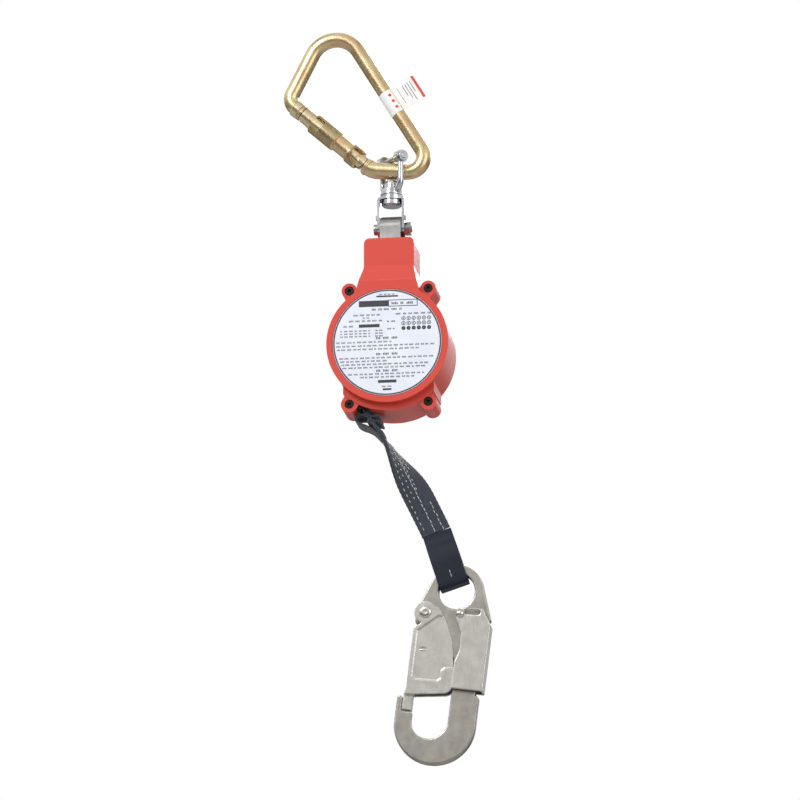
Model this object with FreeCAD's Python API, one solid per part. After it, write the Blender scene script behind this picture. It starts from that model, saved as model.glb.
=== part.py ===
"""Self retracting lifeline: carabiner, swivel, webbing reel and snap hook.

Millimetres, +Z up, front towards -Y.  The origin is the inside of the carabiner's top bend,
where it hangs on its anchor.
"""
import FreeCAD, Part
import math
import os
from FreeCAD import Placement, Rotation, Vector

os.makedirs("parts", exist_ok=True)

X_AXIS = Vector(1, 0, 0)
Y_AXIS = Vector(0, 1, 0)
Z_AXIS = Vector(0, 0, 1)
RUNNING = 0.06          # radial clearance of a pin or sleeve that turns
FIXED = 0.02            # radial gap of a pressed or keyed fit

# Carabiner: centreline corners (x, z) with bend radii, round bar
BAR_R = 6.3
HEEL_R = 7.0
NOSE = Vector(-28.3, 0, -57.4)
HEEL = Vector(24.8, 0, -104.2)
TOP_CORNER = Vector(-2.4, 0, 29.3)
LOWER_CORNER = Vector(84.8, 0, -113.5)
NOSE_RUN = 16.5
HEEL_RUN = 7.0
BENDS = [10.0, 22.0, 13.0, 16.0]
TAPER_X = (54.0, 60.0)      # where the lower bar thickens towards the heel
GATE_LINE = HEEL - NOSE
GATE_SPAN = GATE_LINE.Length
GATE_DIR = Vector(GATE_LINE).normalize()
GATE_TURN = math.degrees(math.atan2(-GATE_DIR.z, GATE_DIR.x))
GATE_R = 6.8
HINGE_BACK = 7.4        # hinge pin, measured back from the heel shoulder
HINGE_S = GATE_SPAN - HINGE_BACK
HINGE_PIN_R = 2.0
TONGUE_HALF = 2.5       # half thickness of the nose and heel tongues
NOSE_TONGUE = 8.0
SLEEVE_START = 12.0
SLEEVE_NECK = (39.0, 52.5)
SLEEVE_END = 64.0
SLEEVE_R = 8.8
SLEEVE_NECK_R = 7.5
SLEEVE_SLOT = (10.0, 5.5)   # depth, half width
TAG_X = 47.0
TAG_LENGTH = 21.7
TAG_FLAG = 21.0

# Swivel
SWIVEL_X = 46.6
SHACKLE_TURN = -50.0
SHACKLE_HALF = 13.5
SHACKLE_ROD = 2.7
CLEVIS_R = 2.5
BOW_BASE_TOP = -126.6
BOW_BASE_LOW = -130.4
SEAT_R = 10.3           # flats for the dome nut and the washers
WASHER = 0.9
STIRRUP_TOP = -133.5
STIRRUP_T = 2.2
STIRRUP_INNER = 9.2
STIRRUP_DEPTH = 7.0
STUD_R = 3.9
BOLT_Z = -160.5
BOLT_R = 3.0

# Load frame: a steel strap looped over the swivel bush, straddling the drum
STRAP_HALF = 8.7
STRAP_T = 2.5
STRAP_R = 10.5
PLATE_IN = 15.2

# Housing
DRUM_Z = -265.3
FACE_Y = -27.0
RIM_Y = -28.0
SEAM_Y = -2.0
BACK_Y = 28.0
SHELL_R = 50.0
RIM_R = 51.0
CAVITY_R = 47.0
WALL = 3.0
LABEL_R = 45.5
CHIN_R = 56.0
CHIN_HALF = 38.0
CHIN_Y = (-20.0, 24.0)
NECK_HALF = 21.0
NECK_TOP = -172.0
NECK_Y = 18.0
EARS = [(-33.0, 47.7, 6.5), (33.0, 47.7, 6.5), (-33.0, -49.5, 7.0), (33.0, -49.5, 7.0)]
EAR_FRONT = -19.0
EAR_BACK = 10.0
SCREW_R = 2.0
SCREW_HEAD_R = 3.6

# Drum, brake and retraction spring
SHAFT_R = 5.0
HUB_R = 15.7
ROLL_R = 42.5
WEB_HALF = 12.5
WEB_T = 1.5
FLANGE_R = 44.0
FLANGE_Y = (13.0, 14.5)
TEETH = 12
TOOTH_TIP_R = 27.0
TOOTH_ROOT_R = 30.5
RING_R = 39.5
BRAKE_R = 45.5
BRAKE_SCREW_PCD_R = 42.8
PAWL_PIVOT_R = 15.0
PAWL_LENGTH = 17.0
PAWL_HALF = 2.5

# Web exit and lifeline
EXIT_TILT = 28.0
EXIT = Vector(23.6, 0, -316.3)
STOP_OUTLINE = [(17.0, -325.0, 3.0), (22.5, -322.3, 3.0), (37.5, -322.8, 3.0), (41.0, -333.0, 3.0),
                (36.0, -339.0, 2.0)]
STOP_EYE = (23.5, -326.0)
STOP_EYE_R = 1.6
STOP_GAP = Vector(0.05, 0, -0.05)   # the running web stands this far off the folded end
ROUTE = [(34.0, -332.0), (42.5, -344.5), (50.5, -358.6), (59.5, -374.3), (68.6, -390.5),
         (77.0, -408.0)]
TWIST = [0.0, 20.0, 50.0, 78.0, 90.0, 90.0]
LIFELINE_T = 3.4
LOOP_TILT = 18.0
FOLD = Vector(99.3, 0, -469.0)
LOOP_HALF = 12.0
LOOP_IN = 5.6
LOOP_T = 2.2
LOOP_TOP = 45.0
FLEX_GAP = 2.5

# Snap hook, drawn upright about the centre of its eye and then tilted
EYE = Vector(101.1, 0, -473.5)
HOOK_TILT = 7.0
HOOK_HALF = 4.0
EYE_R = 15.0
EYE_OUTER_R = 22.5
RIVET = Vector(-23.5, 0, -20.3)
RIVET_R = 4.0
BOWL = Vector(-4.8, 0, -113.5)
BOWL_R = 33.8
GULLET = Vector(-9.6, 0, -110.5)
GULLET_R = 15.4
GATE_PLATE_Y = (4.4, 5.9)
GATE_EYE_R = 9.3
GATE_FOOT = (-31.9, -90.5)      # left side and underside of the gate
GATE_WALL = 1.5                 # folded side between the gate's two plates
LATCH_X = (-33.5, -25.6)
LATCH_HALF = 3.9
LATCH_Z = (-103.6, -86.0)       # the latch drops into the notch of the nose
LEVER_PLATE_Y = (6.3, 7.8)
LOCK_PIN = Vector(5.8, 0, -19.6)
LOCK_PIN_R = 2.3
HEAD_R = 4.9
HEAD_Y = (6.2, 7.5)
LOCK_HEAD_R = 2.9
LOCK_HEAD_Y = (8.1, 8.9)
LEVER_WALL = (30.4, 31.9)
LEVER_SLOT = [(9.0, -15.2, 2.0), (22.2, -15.2, 2.0), (22.2, -19.6, 2.0), (9.0, -19.6, 2.0)]
SHANK_OUTLINE = [(-20.4, 9.5, 0), (-32.0, -19.5, 5), (-31.4, -30.0, 2), (-16.5, -30.0, 4),
                 (-3.0, -41.0, 12), (5.8, -62.0, 15), (5.8, -113.5, 0), (29.0, -113.5, 0),
                 (29.0, -88.0, 1), (26.0, -86.0, 0), (26.0, -27.0, 1), (31.4, -22.5, 1),
                 (21.0, 8.0, 0)]
GATE_OUTLINE = [(-31.9, -34.0, 4), (-27.0, -30.5, 1), (-14.4, -12.5, 3), (-6.5, -24.5, 6),
                (1.6, -43.0, 20), (6.4, -70.0, 12), (6.4, -86.8, 7), (-25.8, -90.5, 3), (-31.9, -90.5, 0)]
LEVER_OUTLINE = [(1.4, -15.0, 1), (24.3, -13.9, 1), (31.9, -26.8, 1), (31.9, -83.5, 0), (5.4, -82.9, 0),
                 (5.6, -61.0, 4), (9.0, -50.0, 8), (8.2, -36.0, 8), (3.6, -25.9, 4)]


def write(node, *solids):
    """Write one node, as one solid or as a group of separate solids."""
    shape = solids[0] if len(solids) == 1 else Part.makeCompound(list(solids))
    shape.exportStep("parts/" + node + ".step")


def rod(radius, start, end):
    """Round bar between two points."""
    line = end - start
    return Part.makeCylinder(radius, line.Length, start, line)


def tube(outer, inner, start, end):
    """Round tube between two points."""
    return rod(outer, start, end).cut(rod(inner, start, end))


def block(x, y, z):
    """Box from three (low, high) pairs."""
    return Part.makeBox(x[1] - x[0], y[1] - y[0], z[1] - z[0], Vector(x[0], y[0], z[0]))


def bend(before, corner, after, radius):
    """Ends and middle of the arc that rounds one corner."""
    back = (before - corner).normalize()
    ahead = (after - corner).normalize()
    half = back.getAngle(ahead) / 2
    reach = radius / math.tan(half)
    middle = (back + ahead).normalize() * (radius / math.sin(half) - radius)
    return corner + back * reach, corner + middle, corner + ahead * reach


def route_edges(points, radii):
    """Straight runs joined by tangent arcs, one radius for each inner point."""
    edges = []
    here = points[0]
    for index, radius in enumerate(radii):
        start, middle, end = bend(points[index], points[index + 1], points[index + 2], radius)
        edges.append(Part.LineSegment(here, start).toShape())
        edges.append(Part.Arc(start, middle, end).toShape())
        here = end
    edges.append(Part.LineSegment(here, points[-1]).toShape())
    return edges


def lined_up(shape, start, heading):
    """Place a round shape drawn along +Z, with its seam on the side towards the back."""
    shape.Placement = Placement(start, Rotation(Y_AXIS, heading.cross(Y_AXIS), heading, "ZXY"))
    return shape


def sweep(edges, radius):
    """Round bar along joined lines and arcs in the XZ plane."""
    parts = []
    for edge in edges:
        start = edge.valueAt(edge.FirstParameter)
        end = edge.valueAt(edge.LastParameter)
        heading = edge.tangentAt(edge.FirstParameter)
        profile = Part.Face(Part.Wire(lined_up(Part.makeCircle(radius), start, heading)))
        if edge.Curve.TypeId == "Part::GeomLine":
            parts.append(profile.extrude(end - start))
        else:
            centre = edge.Curve.Center
            angle = math.degrees((start - centre).getAngle(end - centre))
            parts.append(profile.revolve(centre, (start - centre).cross(heading), angle))
    return parts[0].multiFuse(parts[1:])


def outline_face(corners, across, up):
    """Flat face of a closed outline of (a, b, corner radius) in the plane of two axes."""
    points = [across * a + up * b for a, b, radius in corners]
    count = len(points)
    edges = []
    ends = []
    for index, corner in enumerate(corners):
        if corner[2] > 0:
            arc = bend(points[index - 1], points[index], points[(index + 1) % count], corner[2])
            edges.append(Part.Arc(*arc).toShape())
            ends.append((arc[0], arc[2]))
        else:
            ends.append((points[index], points[index]))
    for index in range(count):
        start = ends[index][1]
        end = ends[(index + 1) % count][0]
        edges.append(Part.LineSegment(start, end).toShape())
    return Part.Face(Part.Wire(Part.__sortEdges__(edges)))


def plate_xz(corners, y):
    """Plate of an outline in the XZ plane, between two depths."""
    face = outline_face(corners, X_AXIS, Z_AXIS)
    face.translate(Vector(0, y[0], 0))
    return face.extrude(Vector(0, y[1] - y[0], 0))


def plate_yz(corners, x):
    """Plate of an outline in the YZ plane, between two widths."""
    face = outline_face(corners, Y_AXIS, Z_AXIS)
    face.translate(Vector(x[0], 0, 0))
    return face.extrude(Vector(x[1] - x[0], 0, 0))


def coil(radius, wire, length, turns, start, axis):
    """Round-wire coil spring along an axis."""
    helix = Part.makeHelix(length / turns, length, radius)
    profile = Part.Wire(Part.makeCircle(wire / 2, Vector(radius, 0, 0), Y_AXIS))
    spring = helix.makePipeShell([profile], True, True)
    spring.Placement = Placement(start, Rotation(Z_AXIS, axis))
    return spring


def placed(shape, base, turn, axis=Y_AXIS):
    """Shape turned about its own origin and moved to its place."""
    moved = shape.copy()
    moved.Placement = Placement(base, Rotation(axis, turn)).multiply(moved.Placement)
    return moved


def depth(x, z, y):
    """Point at a depth, for bars that run front to back."""
    return Vector(x, y, z)


# ---------------------------------------------------------------- carabiner

def on_gate(shape):
    """Place a shape drawn along +X from the nose."""
    return placed(shape, NOSE, GATE_TURN)


def bar_height(x):
    """Centre height of the carabiner's lower bar."""
    start = HEEL + GATE_DIR * HEEL_RUN
    share = (x - start.x) / (LOWER_CORNER.x - start.x)
    return start.z + share * (LOWER_CORNER.z - start.z)


def make_carabiner_frame():
    heel_corner = HEEL + GATE_DIR * HEEL_RUN
    thin = Vector(TAPER_X[1], 0, bar_height(TAPER_X[1]))
    thick = Vector(TAPER_X[0], 0, bar_height(TAPER_X[0]))
    corners = [NOSE, NOSE - GATE_DIR * NOSE_RUN, TOP_CORNER, LOWER_CORNER, thin]
    along = thick - thin
    frame = sweep(route_edges(corners, BENDS[:-1]), BAR_R)
    taper = Part.makeCone(BAR_R, HEEL_R, along.Length)
    frame = frame.fuse(lined_up(taper, thin, along.normalize()))
    frame = frame.fuse(sweep(route_edges([thick, heel_corner, HEEL], BENDS[-1:]), HEEL_R))
    frame = frame.fuse(on_gate(rod(GATE_R, Vector(-2.5, 0, 0), Vector(0, 0, 0))))
    nose_tongue = block((-2.0, NOSE_TONGUE), (-TONGUE_HALF, TONGUE_HALF), (-5.2, 4.0))
    frame = frame.fuse(on_gate(nose_tongue))
    eye_r = 5.5
    heel_tongue = block((HINGE_S, GATE_SPAN + 1), (-TONGUE_HALF, TONGUE_HALF), (-eye_r, eye_r))
    eye = rod(eye_r, depth(HINGE_S, 0, -TONGUE_HALF), depth(HINGE_S, 0, TONGUE_HALF))
    heel_tongue = heel_tongue.fuse(eye)
    frame = frame.fuse(on_gate(heel_tongue))
    bore = rod(HINGE_PIN_R + FIXED, depth(HINGE_S, 0, -9), depth(HINGE_S, 0, 9))
    frame = frame.cut(on_gate(bore))
    write("carabiner_frame", frame.removeSplitter())


def make_hinge_pin():
    half = 6.3
    pin = rod(HINGE_PIN_R, depth(HINGE_S, 0, -half), depth(HINGE_S, 0, half))
    write("carabiner_hinge_pin", on_gate(pin))


def make_tag():
    spine = (LOWER_CORNER - TOP_CORNER).normalize()
    turn = math.degrees(math.atan2(-spine.z, spine.x))
    centre = TOP_CORNER + spine * ((TAG_X - TOP_CORNER.x) / spine.x)
    half = TAG_LENGTH / 2
    inner = BAR_R + FIXED
    outer = BAR_R + 0.4
    wrap = tube(outer, inner, Vector(-half, 0, 0), Vector(half, 0, 0))
    flag = block((-half, half), (-3.4, -3.0), (inner - 1.0, outer + TAG_FLAG))
    flag = flag.cut(rod(inner, Vector(-half, 0, 0), Vector(half, 0, 0)))
    write("carabiner_tag", placed(wrap.fuse(flag), centre, turn))


def make_carabiner_gate():
    start = 0.8
    barrel = rod(GATE_R, Vector(start, 0, 0), Vector(HINGE_S, 0, 0))
    end = rod(GATE_R, Vector(HINGE_S, 0, 0), Vector(HINGE_S + GATE_R, 0, 0))
    end = end.common(rod(GATE_R, depth(HINGE_S, 0, -GATE_R), depth(HINGE_S, 0, GATE_R)))
    gate = barrel.fuse(end).removeSplitter()
    slot_half = TONGUE_HALF + 0.4
    gate = gate.cut(block((HINGE_S - 6.2, HINGE_S + 9), (-slot_half, slot_half), (-9, 9)))
    gate = gate.cut(block((0, NOSE_TONGUE + 0.8), (-slot_half, slot_half), (-9, 4.6)))
    gate = gate.cut(rod(HINGE_PIN_R + RUNNING, depth(HINGE_S, 0, -9), depth(HINGE_S, 0, 9)))
    gate = gate.cut(rod(3.5, Vector(32, 0, 0), Vector(HINGE_S - 5.7, 0, 0)))
    write("carabiner_gate", on_gate(gate))


def make_gate_spring_set():
    tip = HINGE_S - 5.8
    seat = tip - 10.0
    plunger = rod(3.3, Vector(seat, 0, 0), Vector(tip, 0, 0))
    write("gate_plunger", on_gate(plunger))
    spring = coil(2.6, 0.8, seat - 33.6, 9, Vector(33.0, 0, 0), X_AXIS)
    write("gate_spring", on_gate(spring))


def make_lock_sleeve():
    bore = GATE_R + 0.08
    spring_room = 7.95
    sleeve = rod(SLEEVE_R, Vector(SLEEVE_START, 0, 0), Vector(SLEEVE_NECK[0], 0, 0))
    sleeve = sleeve.fuse(rod(SLEEVE_NECK_R, Vector(SLEEVE_NECK[0], 0, 0), Vector(SLEEVE_NECK[1], 0, 0)))
    sleeve = sleeve.fuse(rod(SLEEVE_R, Vector(SLEEVE_NECK[1], 0, 0), Vector(SLEEVE_END, 0, 0)))
    sleeve = sleeve.cut(rod(bore, Vector(SLEEVE_START - 1, 0, 0), Vector(SLEEVE_END + 1, 0, 0)))
    sleeve = sleeve.cut(rod(spring_room, Vector(23.0, 0, 0), Vector(36.0, 0, 0)))
    slot_depth, half = SLEEVE_SLOT
    front = (-SLEEVE_R - 1, -3.0)
    sleeve = sleeve.cut(block((SLEEVE_START - 1, SLEEVE_START + slot_depth), front, (-half, half)))
    sleeve = sleeve.cut(block((SLEEVE_END - slot_depth + 1.5, SLEEVE_END + 1), front, (-half, half)))
    write("lock_sleeve", on_gate(sleeve))
    spring = coil(7.4, 0.7, 11.0, 7, Vector(24.0, 0, 0), X_AXIS)
    write("sleeve_spring", on_gate(spring))


# ---------------------------------------------------------------- swivel

def on_shackle(shape):
    """Place a shape drawn about the swivel axis, with the clevis pin along X."""
    return placed(shape, Vector(SWIVEL_X, 0, 0), SHACKLE_TURN, Z_AXIS)


def clevis_height():
    return bar_height(SWIVEL_X) + HEEL_R + CLEVIS_R + 0.2


def make_shackle_bow():
    top = clevis_height()
    base = (BOW_BASE_TOP + BOW_BASE_LOW) / 2
    half = SHACKLE_HALF
    path = [Vector(-half, 0, top), Vector(-half, 0, base), Vector(half, 0, base), Vector(half, 0, top)]
    bow = sweep(route_edges(path, [9.0, 9.0]), SHACKLE_ROD)
    bow = bow.fuse(rod(9.0, Vector(0, 0, BOW_BASE_LOW), Vector(0, 0, BOW_BASE_TOP)))
    for side in (-1, 1):
        eye = rod(5.5, Vector(side * (half - 2.6), 0, top), Vector(side * (half + 2.6), 0, top))
        bow = bow.fuse(eye)
    for seat, away in ((BOW_BASE_TOP, 6), (BOW_BASE_LOW, -6)):
        bow = bow.cut(rod(SEAT_R, Vector(0, 0, seat), Vector(0, 0, seat + away)))
    bow = bow.cut(rod(CLEVIS_R + FIXED, Vector(-20, 0, top), Vector(20, 0, top)))
    bow = bow.cut(rod(STUD_R + FIXED, Vector(0, 0, BOW_BASE_LOW - 4), Vector(0, 0, BOW_BASE_TOP + 4)))
    write("shackle_bow", on_shackle(bow))


def make_clevis_pin():
    top = clevis_height()
    face = SHACKLE_HALF + 2.7
    pin = rod(CLEVIS_R, Vector(-face, 0, top), Vector(face + 3.4, 0, top))
    pin = pin.fuse(rod(4.2, Vector(-face - 2.0, 0, top), Vector(-face, 0, top)))
    nut = tube(4.3, CLEVIS_R + FIXED, Vector(face, 0, top), Vector(face + 2.6, 0, top))
    write("clevis_pin", on_shackle(pin))
    write("clevis_nut", on_shackle(nut))


def make_swivel_stud():
    low = STIRRUP_TOP - STIRRUP_T - 0.1
    head = low - 5.4
    top = bar_height(SWIVEL_X) - HEEL_R - 1.6
    stud = rod(STUD_R, Vector(0, 0, head), Vector(0, 0, top - 0.8))
    stud = stud.fuse(rod(8.7, Vector(0, 0, head + 1.4), Vector(0, 0, low)))
    stud = stud.fuse(Part.makeCone(7.2, 8.7, 1.4, Vector(0, 0, head), Z_AXIS))
    nut = tube(6.4, STUD_R + FIXED, Vector(0, 0, BOW_BASE_TOP), Vector(0, 0, top - 3.0))
    dome = Part.makeCone(6.4, 3.9 + 1.0, 3.0, Vector(0, 0, top - 3.0), Z_AXIS)
    dome = dome.cut(rod(STUD_R + FIXED, Vector(0, 0, top - 4), Vector(0, 0, top - 0.7)))
    write("swivel_stud", on_shackle(stud))
    write("dome_nut", on_shackle(nut.fuse(dome)))


def make_thrust_washers():
    washers = []
    for index, radius in enumerate((9.6, 8.8, 10.0)):
        top = BOW_BASE_LOW - 0.1 - index * (WASHER + 0.1)
        washers.append(tube(radius, STUD_R + FIXED, Vector(0, 0, top - WASHER), Vector(0, 0, top)))
    write("thrust_washers", *[on_shackle(washer) for washer in washers])


def at_swivel(shape):
    return placed(shape, Vector(SWIVEL_X, 0, 0), 0)


def make_stirrup():
    outer = STIRRUP_INNER + STIRRUP_T
    inside = STIRRUP_INNER
    top = STIRRUP_TOP
    under = top - STIRRUP_T
    corners = [(-outer, BOLT_Z - 8, 0), (-outer, top, 3.5), (outer, top, 3.5), (outer, BOLT_Z - 8, 0),
               (inside, BOLT_Z - 8, 0), (inside, under, 0.4), (-inside, under, 0.4), (-inside, BOLT_Z - 8, 0)]
    body = plate_xz(corners, (-STIRRUP_DEPTH, STIRRUP_DEPTH))
    side = rod(STIRRUP_DEPTH, Vector(-outer, 0, BOLT_Z), Vector(outer, 0, BOLT_Z))
    side = side.fuse(block((-outer, outer), (-STIRRUP_DEPTH, STIRRUP_DEPTH), (BOLT_Z, top)))
    crown = rod(10.0, Vector(0, 0, under - 1), Vector(0, 0, top))
    body = body.common(side)
    body = body.fuse(crown.common(block((-20, 20), (-20, 20), (under, top))))
    for way in (-1, 1):
        lug = block((outer - 0.5, outer + 1.4), (-5.5, -2.0), (BOLT_Z + 7.0, BOLT_Z + 10.5))
        body = body.fuse(lug if way > 0 else lug.mirror(Vector(0, 0, 0), X_AXIS))
    body = body.cut(rod(STUD_R + RUNNING + 0.02, Vector(0, 0, under - 1), Vector(0, 0, top + 1)))
    body = body.cut(rod(BOLT_R + FIXED, Vector(-outer - 2, 0, BOLT_Z), Vector(outer + 2, 0, BOLT_Z)))
    write("stirrup", at_swivel(body.removeSplitter()))


def make_cross_bolt():
    face = STIRRUP_INNER + STIRRUP_T + 0.1
    bolt = rod(BOLT_R, Vector(-face, 0, BOLT_Z), Vector(face + 6.0, 0, BOLT_Z))
    bolt = bolt.fuse(rod(4.6, Vector(-face - 3.4, 0, BOLT_Z), Vector(-face, 0, BOLT_Z)))
    hexagon = Part.makePolygon([Vector(face, 5.8 * math.cos(math.radians(a)),
                                       BOLT_Z + 5.8 * math.sin(math.radians(a))) for a in range(0, 361, 60)])
    nut = Part.Face(hexagon).extrude(Vector(5.0, 0, 0))
    nut = nut.cut(rod(BOLT_R + FIXED, Vector(face - 1, 0, BOLT_Z), Vector(face + 7, 0, BOLT_Z)))
    half = STIRRUP_INNER - 0.1
    bush = tube(STRAP_R - STRAP_T - 0.08, BOLT_R + FIXED, Vector(-half, 0, BOLT_Z), Vector(half, 0, BOLT_Z))
    write("cross_bolt", at_swivel(bolt))
    write("cross_nut", at_swivel(nut))
    write("load_bush", at_swivel(bush))


# ---------------------------------------------------------------- housing

def drum_point(x, z, y=0.0):
    """Point given from the drum axis."""
    return Vector(SWIVEL_X + x, y, DRUM_Z + z)


def disc(radius, y, x=0.0, z=0.0):
    """Disc facing front, given from the drum axis."""
    return rod(radius, drum_point(x, z, y[0]), drum_point(x, z, y[1]))


def ring(outer, inner, y, x=0.0, z=0.0):
    return disc(outer, y, x, z).cut(disc(inner, y, x, z))


def cell(x, y, z):
    """Box given from the drum axis."""
    return block((SWIVEL_X + x[0], SWIVEL_X + x[1]), y, (DRUM_Z + z[0], DRUM_Z + z[1]))


def at_exit(shape):
    """Place a shape drawn about the web exit, the web running along -Z."""
    return placed(shape, EXIT, -EXIT_TILT)


def neck_shell(front):
    """Outer form of one cover's neck, from the seam to its face."""
    way = -1 if front else 1
    face = abs(FACE_Y) if front else BACK_Y
    side = [(SEAM_Y, NECK_TOP, 0), (way * NECK_Y, NECK_TOP, 2.0), (way * NECK_Y, -197.0, 1.5),
            (way * face, -211.0, 2.0), (way * face, DRUM_Z + 20, 0), (SEAM_Y, DRUM_Z + 20, 0)]
    half = NECK_HALF
    flare = half + 6.0
    outline = [(SWIVEL_X - half, NECK_TOP, 5.5), (SWIVEL_X + half, NECK_TOP, 5.5),
               (SWIVEL_X + half, -199.0, 20.0), (SWIVEL_X + flare, -222.0, 0),
               (SWIVEL_X + flare, DRUM_Z + 20, 0), (SWIVEL_X - flare, DRUM_Z + 20, 0),
               (SWIVEL_X - flare, -222.0, 0), (SWIVEL_X - half, -199.0, 20.0)]
    profile = plate_yz(side, (SWIVEL_X - 40, SWIVEL_X + 40))
    return profile.common(plate_xz(outline, (-30, 30)))


def ear(x, z, radius, y):
    """Screw boss with a web back to the shell."""
    reach = math.hypot(x, z)
    angle = math.degrees(math.atan2(-z, x))
    bridge = block((SHELL_R - 12, reach), y, (-radius, radius))
    return disc(radius, y, x, z).fuse(placed(bridge, drum_point(0, 0), angle))


def chin(radius, half, y, top):
    """Deeper lower part of the shell, round the web exit."""
    return disc(radius, y).common(cell((-half, half), y, (-radius - 1, top)))


def load_room():
    """Space for the load strap, from the neck's mouth down to the drum."""
    inside = STRAP_R + 1.0
    low = PLATE_IN + STRAP_T + 1.2
    side = [(-inside, NECK_TOP + 8, 0), (inside, NECK_TOP + 8, 0), (inside, -189.0, 0), (low, -208.0, 0),
            (low, DRUM_Z + 30, 0), (-low, DRUM_Z + 30, 0), (-low, -208.0, 0), (-inside, -189.0, 0)]
    half = STRAP_HALF + 1.0
    return plate_yz(side, (SWIVEL_X - half, SWIVEL_X + half))


def hollow(y):
    """Inside space of one cover."""
    room = disc(CAVITY_R, y)
    room = room.fuse(chin(CHIN_R - WALL, CHIN_HALF - WALL, (max(y[0], -16.8), min(y[1], 20.8)), -20.0))
    room = room.fuse(load_room())
    return room.fuse(at_exit(block((-4.6, 4.6), (-16.6, 16.6), (-6, 9))))


def make_front_cover():
    cover = disc(SHELL_R, (FACE_Y, SEAM_Y)).fuse(disc(RIM_R, (RIM_Y, FACE_Y + 3)))
    cover = cover.fuse(neck_shell(True))
    for x, z, radius in EARS:
        cover = cover.fuse(ear(x, z, radius, (EAR_FRONT, SEAM_Y)))
    cover = cover.fuse(chin(CHIN_R, CHIN_HALF, (CHIN_Y[0], SEAM_Y), -28.0))
    cover = cover.cut(hollow((FACE_Y + WALL, SEAM_Y)))
    cover = cover.cut(disc(LABEL_R + 0.5, (RIM_Y - 1, FACE_Y)))
    for x, z, radius in EARS:
        cover = cover.cut(disc(SCREW_HEAD_R + 0.3, (EAR_FRONT - 1, EAR_FRONT + 4), x, z))
        cover = cover.cut(disc(SCREW_R + 0.3, (EAR_FRONT, SEAM_Y + 1), x, z))
    write("front_cover", cover.removeSplitter())


def make_rear_cover():
    cover = disc(SHELL_R, (SEAM_Y, BACK_Y)).fuse(neck_shell(False))
    for x, z, radius in EARS:
        cover = cover.fuse(ear(x, z, radius, (SEAM_Y, EAR_BACK)))
    cover = cover.fuse(chin(CHIN_R, CHIN_HALF, (SEAM_Y, CHIN_Y[1]), -28.0))
    cover = cover.cut(hollow((SEAM_Y, BACK_Y - WALL)))
    for x, z, radius in EARS:
        cover = cover.cut(disc(3.2, (SEAM_Y - 1, SEAM_Y + 8.4), x, z))
    write("rear_cover", cover.removeSplitter())


def make_label_plate():
    write("label_plate", disc(LABEL_R, (RIM_Y, FACE_Y - 0.1)))


def make_cover_screws():
    screws = []
    inserts = []
    head = (EAR_FRONT + 0.6, EAR_FRONT + 3.9)
    for x, z, radius in EARS:
        screw = disc(SCREW_HEAD_R, head, x, z).fuse(disc(SCREW_R, (head[1], SEAM_Y + 7.6), x, z))
        socket = disc(1.4, (head[0] - 1, head[0] + 1.8), x, z)
        screws.append(screw.cut(socket))
        inserts.append(ring(3.15, SCREW_R + FIXED, (SEAM_Y + 0.2, SEAM_Y + 8.2), x, z))
    write("cover_screws", *screws)
    write("cover_inserts", *inserts)


def make_load_frame():
    straight = -189.5
    splayed = -207.5
    foot = DRUM_Z - 10
    out = PLATE_IN + STRAP_T
    inner = STRAP_R - STRAP_T
    x = (SWIVEL_X - STRAP_HALF, SWIVEL_X + STRAP_HALF)
    frame = tube(STRAP_R, inner, Vector(x[0], 0, BOLT_Z), Vector(x[1], 0, BOLT_Z))
    frame = frame.cut(block((x[0] - 1, x[1] + 1), (-20, 20), (BOLT_Z - 20, BOLT_Z)))
    for way in (-1, 1):
        leg = [(way * STRAP_R, BOLT_Z, 0), (way * STRAP_R, straight, 0), (way * out, splayed, 0),
               (way * out, foot, 0), (way * PLATE_IN, foot, 0), (way * PLATE_IN, splayed - 0.6, 0),
               (way * inner, straight - 0.6, 0), (way * inner, BOLT_Z, 0)]
        frame = frame.fuse(plate_yz(leg, x))
    frame = frame.fuse(disc(16.0, (-out, -PLATE_IN)))
    frame = frame.fuse(disc(BRAKE_R, (PLATE_IN, out)))
    frame = frame.cut(disc(7.0, (-out - 1, out + 1)))
    for x_hole, z_hole in brake_screw_places():
        frame = frame.cut(disc(1.5 + FIXED, (PLATE_IN - 1, out + 1), x_hole, z_hole))
    write("load_frame", frame.removeSplitter())


def make_shaft_bushes():
    out = PLATE_IN + STRAP_T
    bushes = []
    for way in (-1, 1):
        wall = sorted((way * PLATE_IN, way * (out + 0.7)))
        flange = sorted((way * out, way * (out + 0.7)))
        bush = disc(6.98, wall).fuse(disc(8.5, flange)).cut(disc(SHAFT_R + RUNNING, (-30, 30)))
        bushes.append(bush)
    write("shaft_bushes", *bushes)


def brake_screw_places():
    angles = [math.radians(angle) for angle in (30, 150, 270)]
    return [(BRAKE_SCREW_PCD_R * math.cos(a), BRAKE_SCREW_PCD_R * math.sin(a)) for a in angles]


def make_brake():
    first = PLATE_IN + STRAP_T + 0.1
    linings = [ring(RING_R, 31.5, (first, first + 1.0)), ring(RING_R, 31.5, (first + 4.2, first + 5.2))]
    write("brake_linings", *linings)
    ratchet = ring(RING_R, TOOTH_ROOT_R, (first + 1.1, first + 4.1))
    for index in range(TEETH):
        middle = index * 360.0 / TEETH + tooth_offset()
        tooth = cell((TOOTH_TIP_R, TOOTH_ROOT_R + 1), (first + 1.1, first + 4.1), (-2.8, 2.8))
        ratchet = ratchet.fuse(tooth.rotated(drum_point(0, 0), Y_AXIS, -middle))
    write("ratchet_ring", ratchet.removeSplitter())
    plate = ring(BRAKE_R, 31.5, (first + 5.3, first + 6.8))
    screws = []
    for x, z in brake_screw_places():
        plate = plate.cut(disc(1.5 + FIXED, (first, first + 8), x, z))
        screws.append(disc(1.5, (PLATE_IN, first + 6.8), x, z))
    write("pressure_plate", plate)
    write("brake_screws", *screws)


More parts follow.
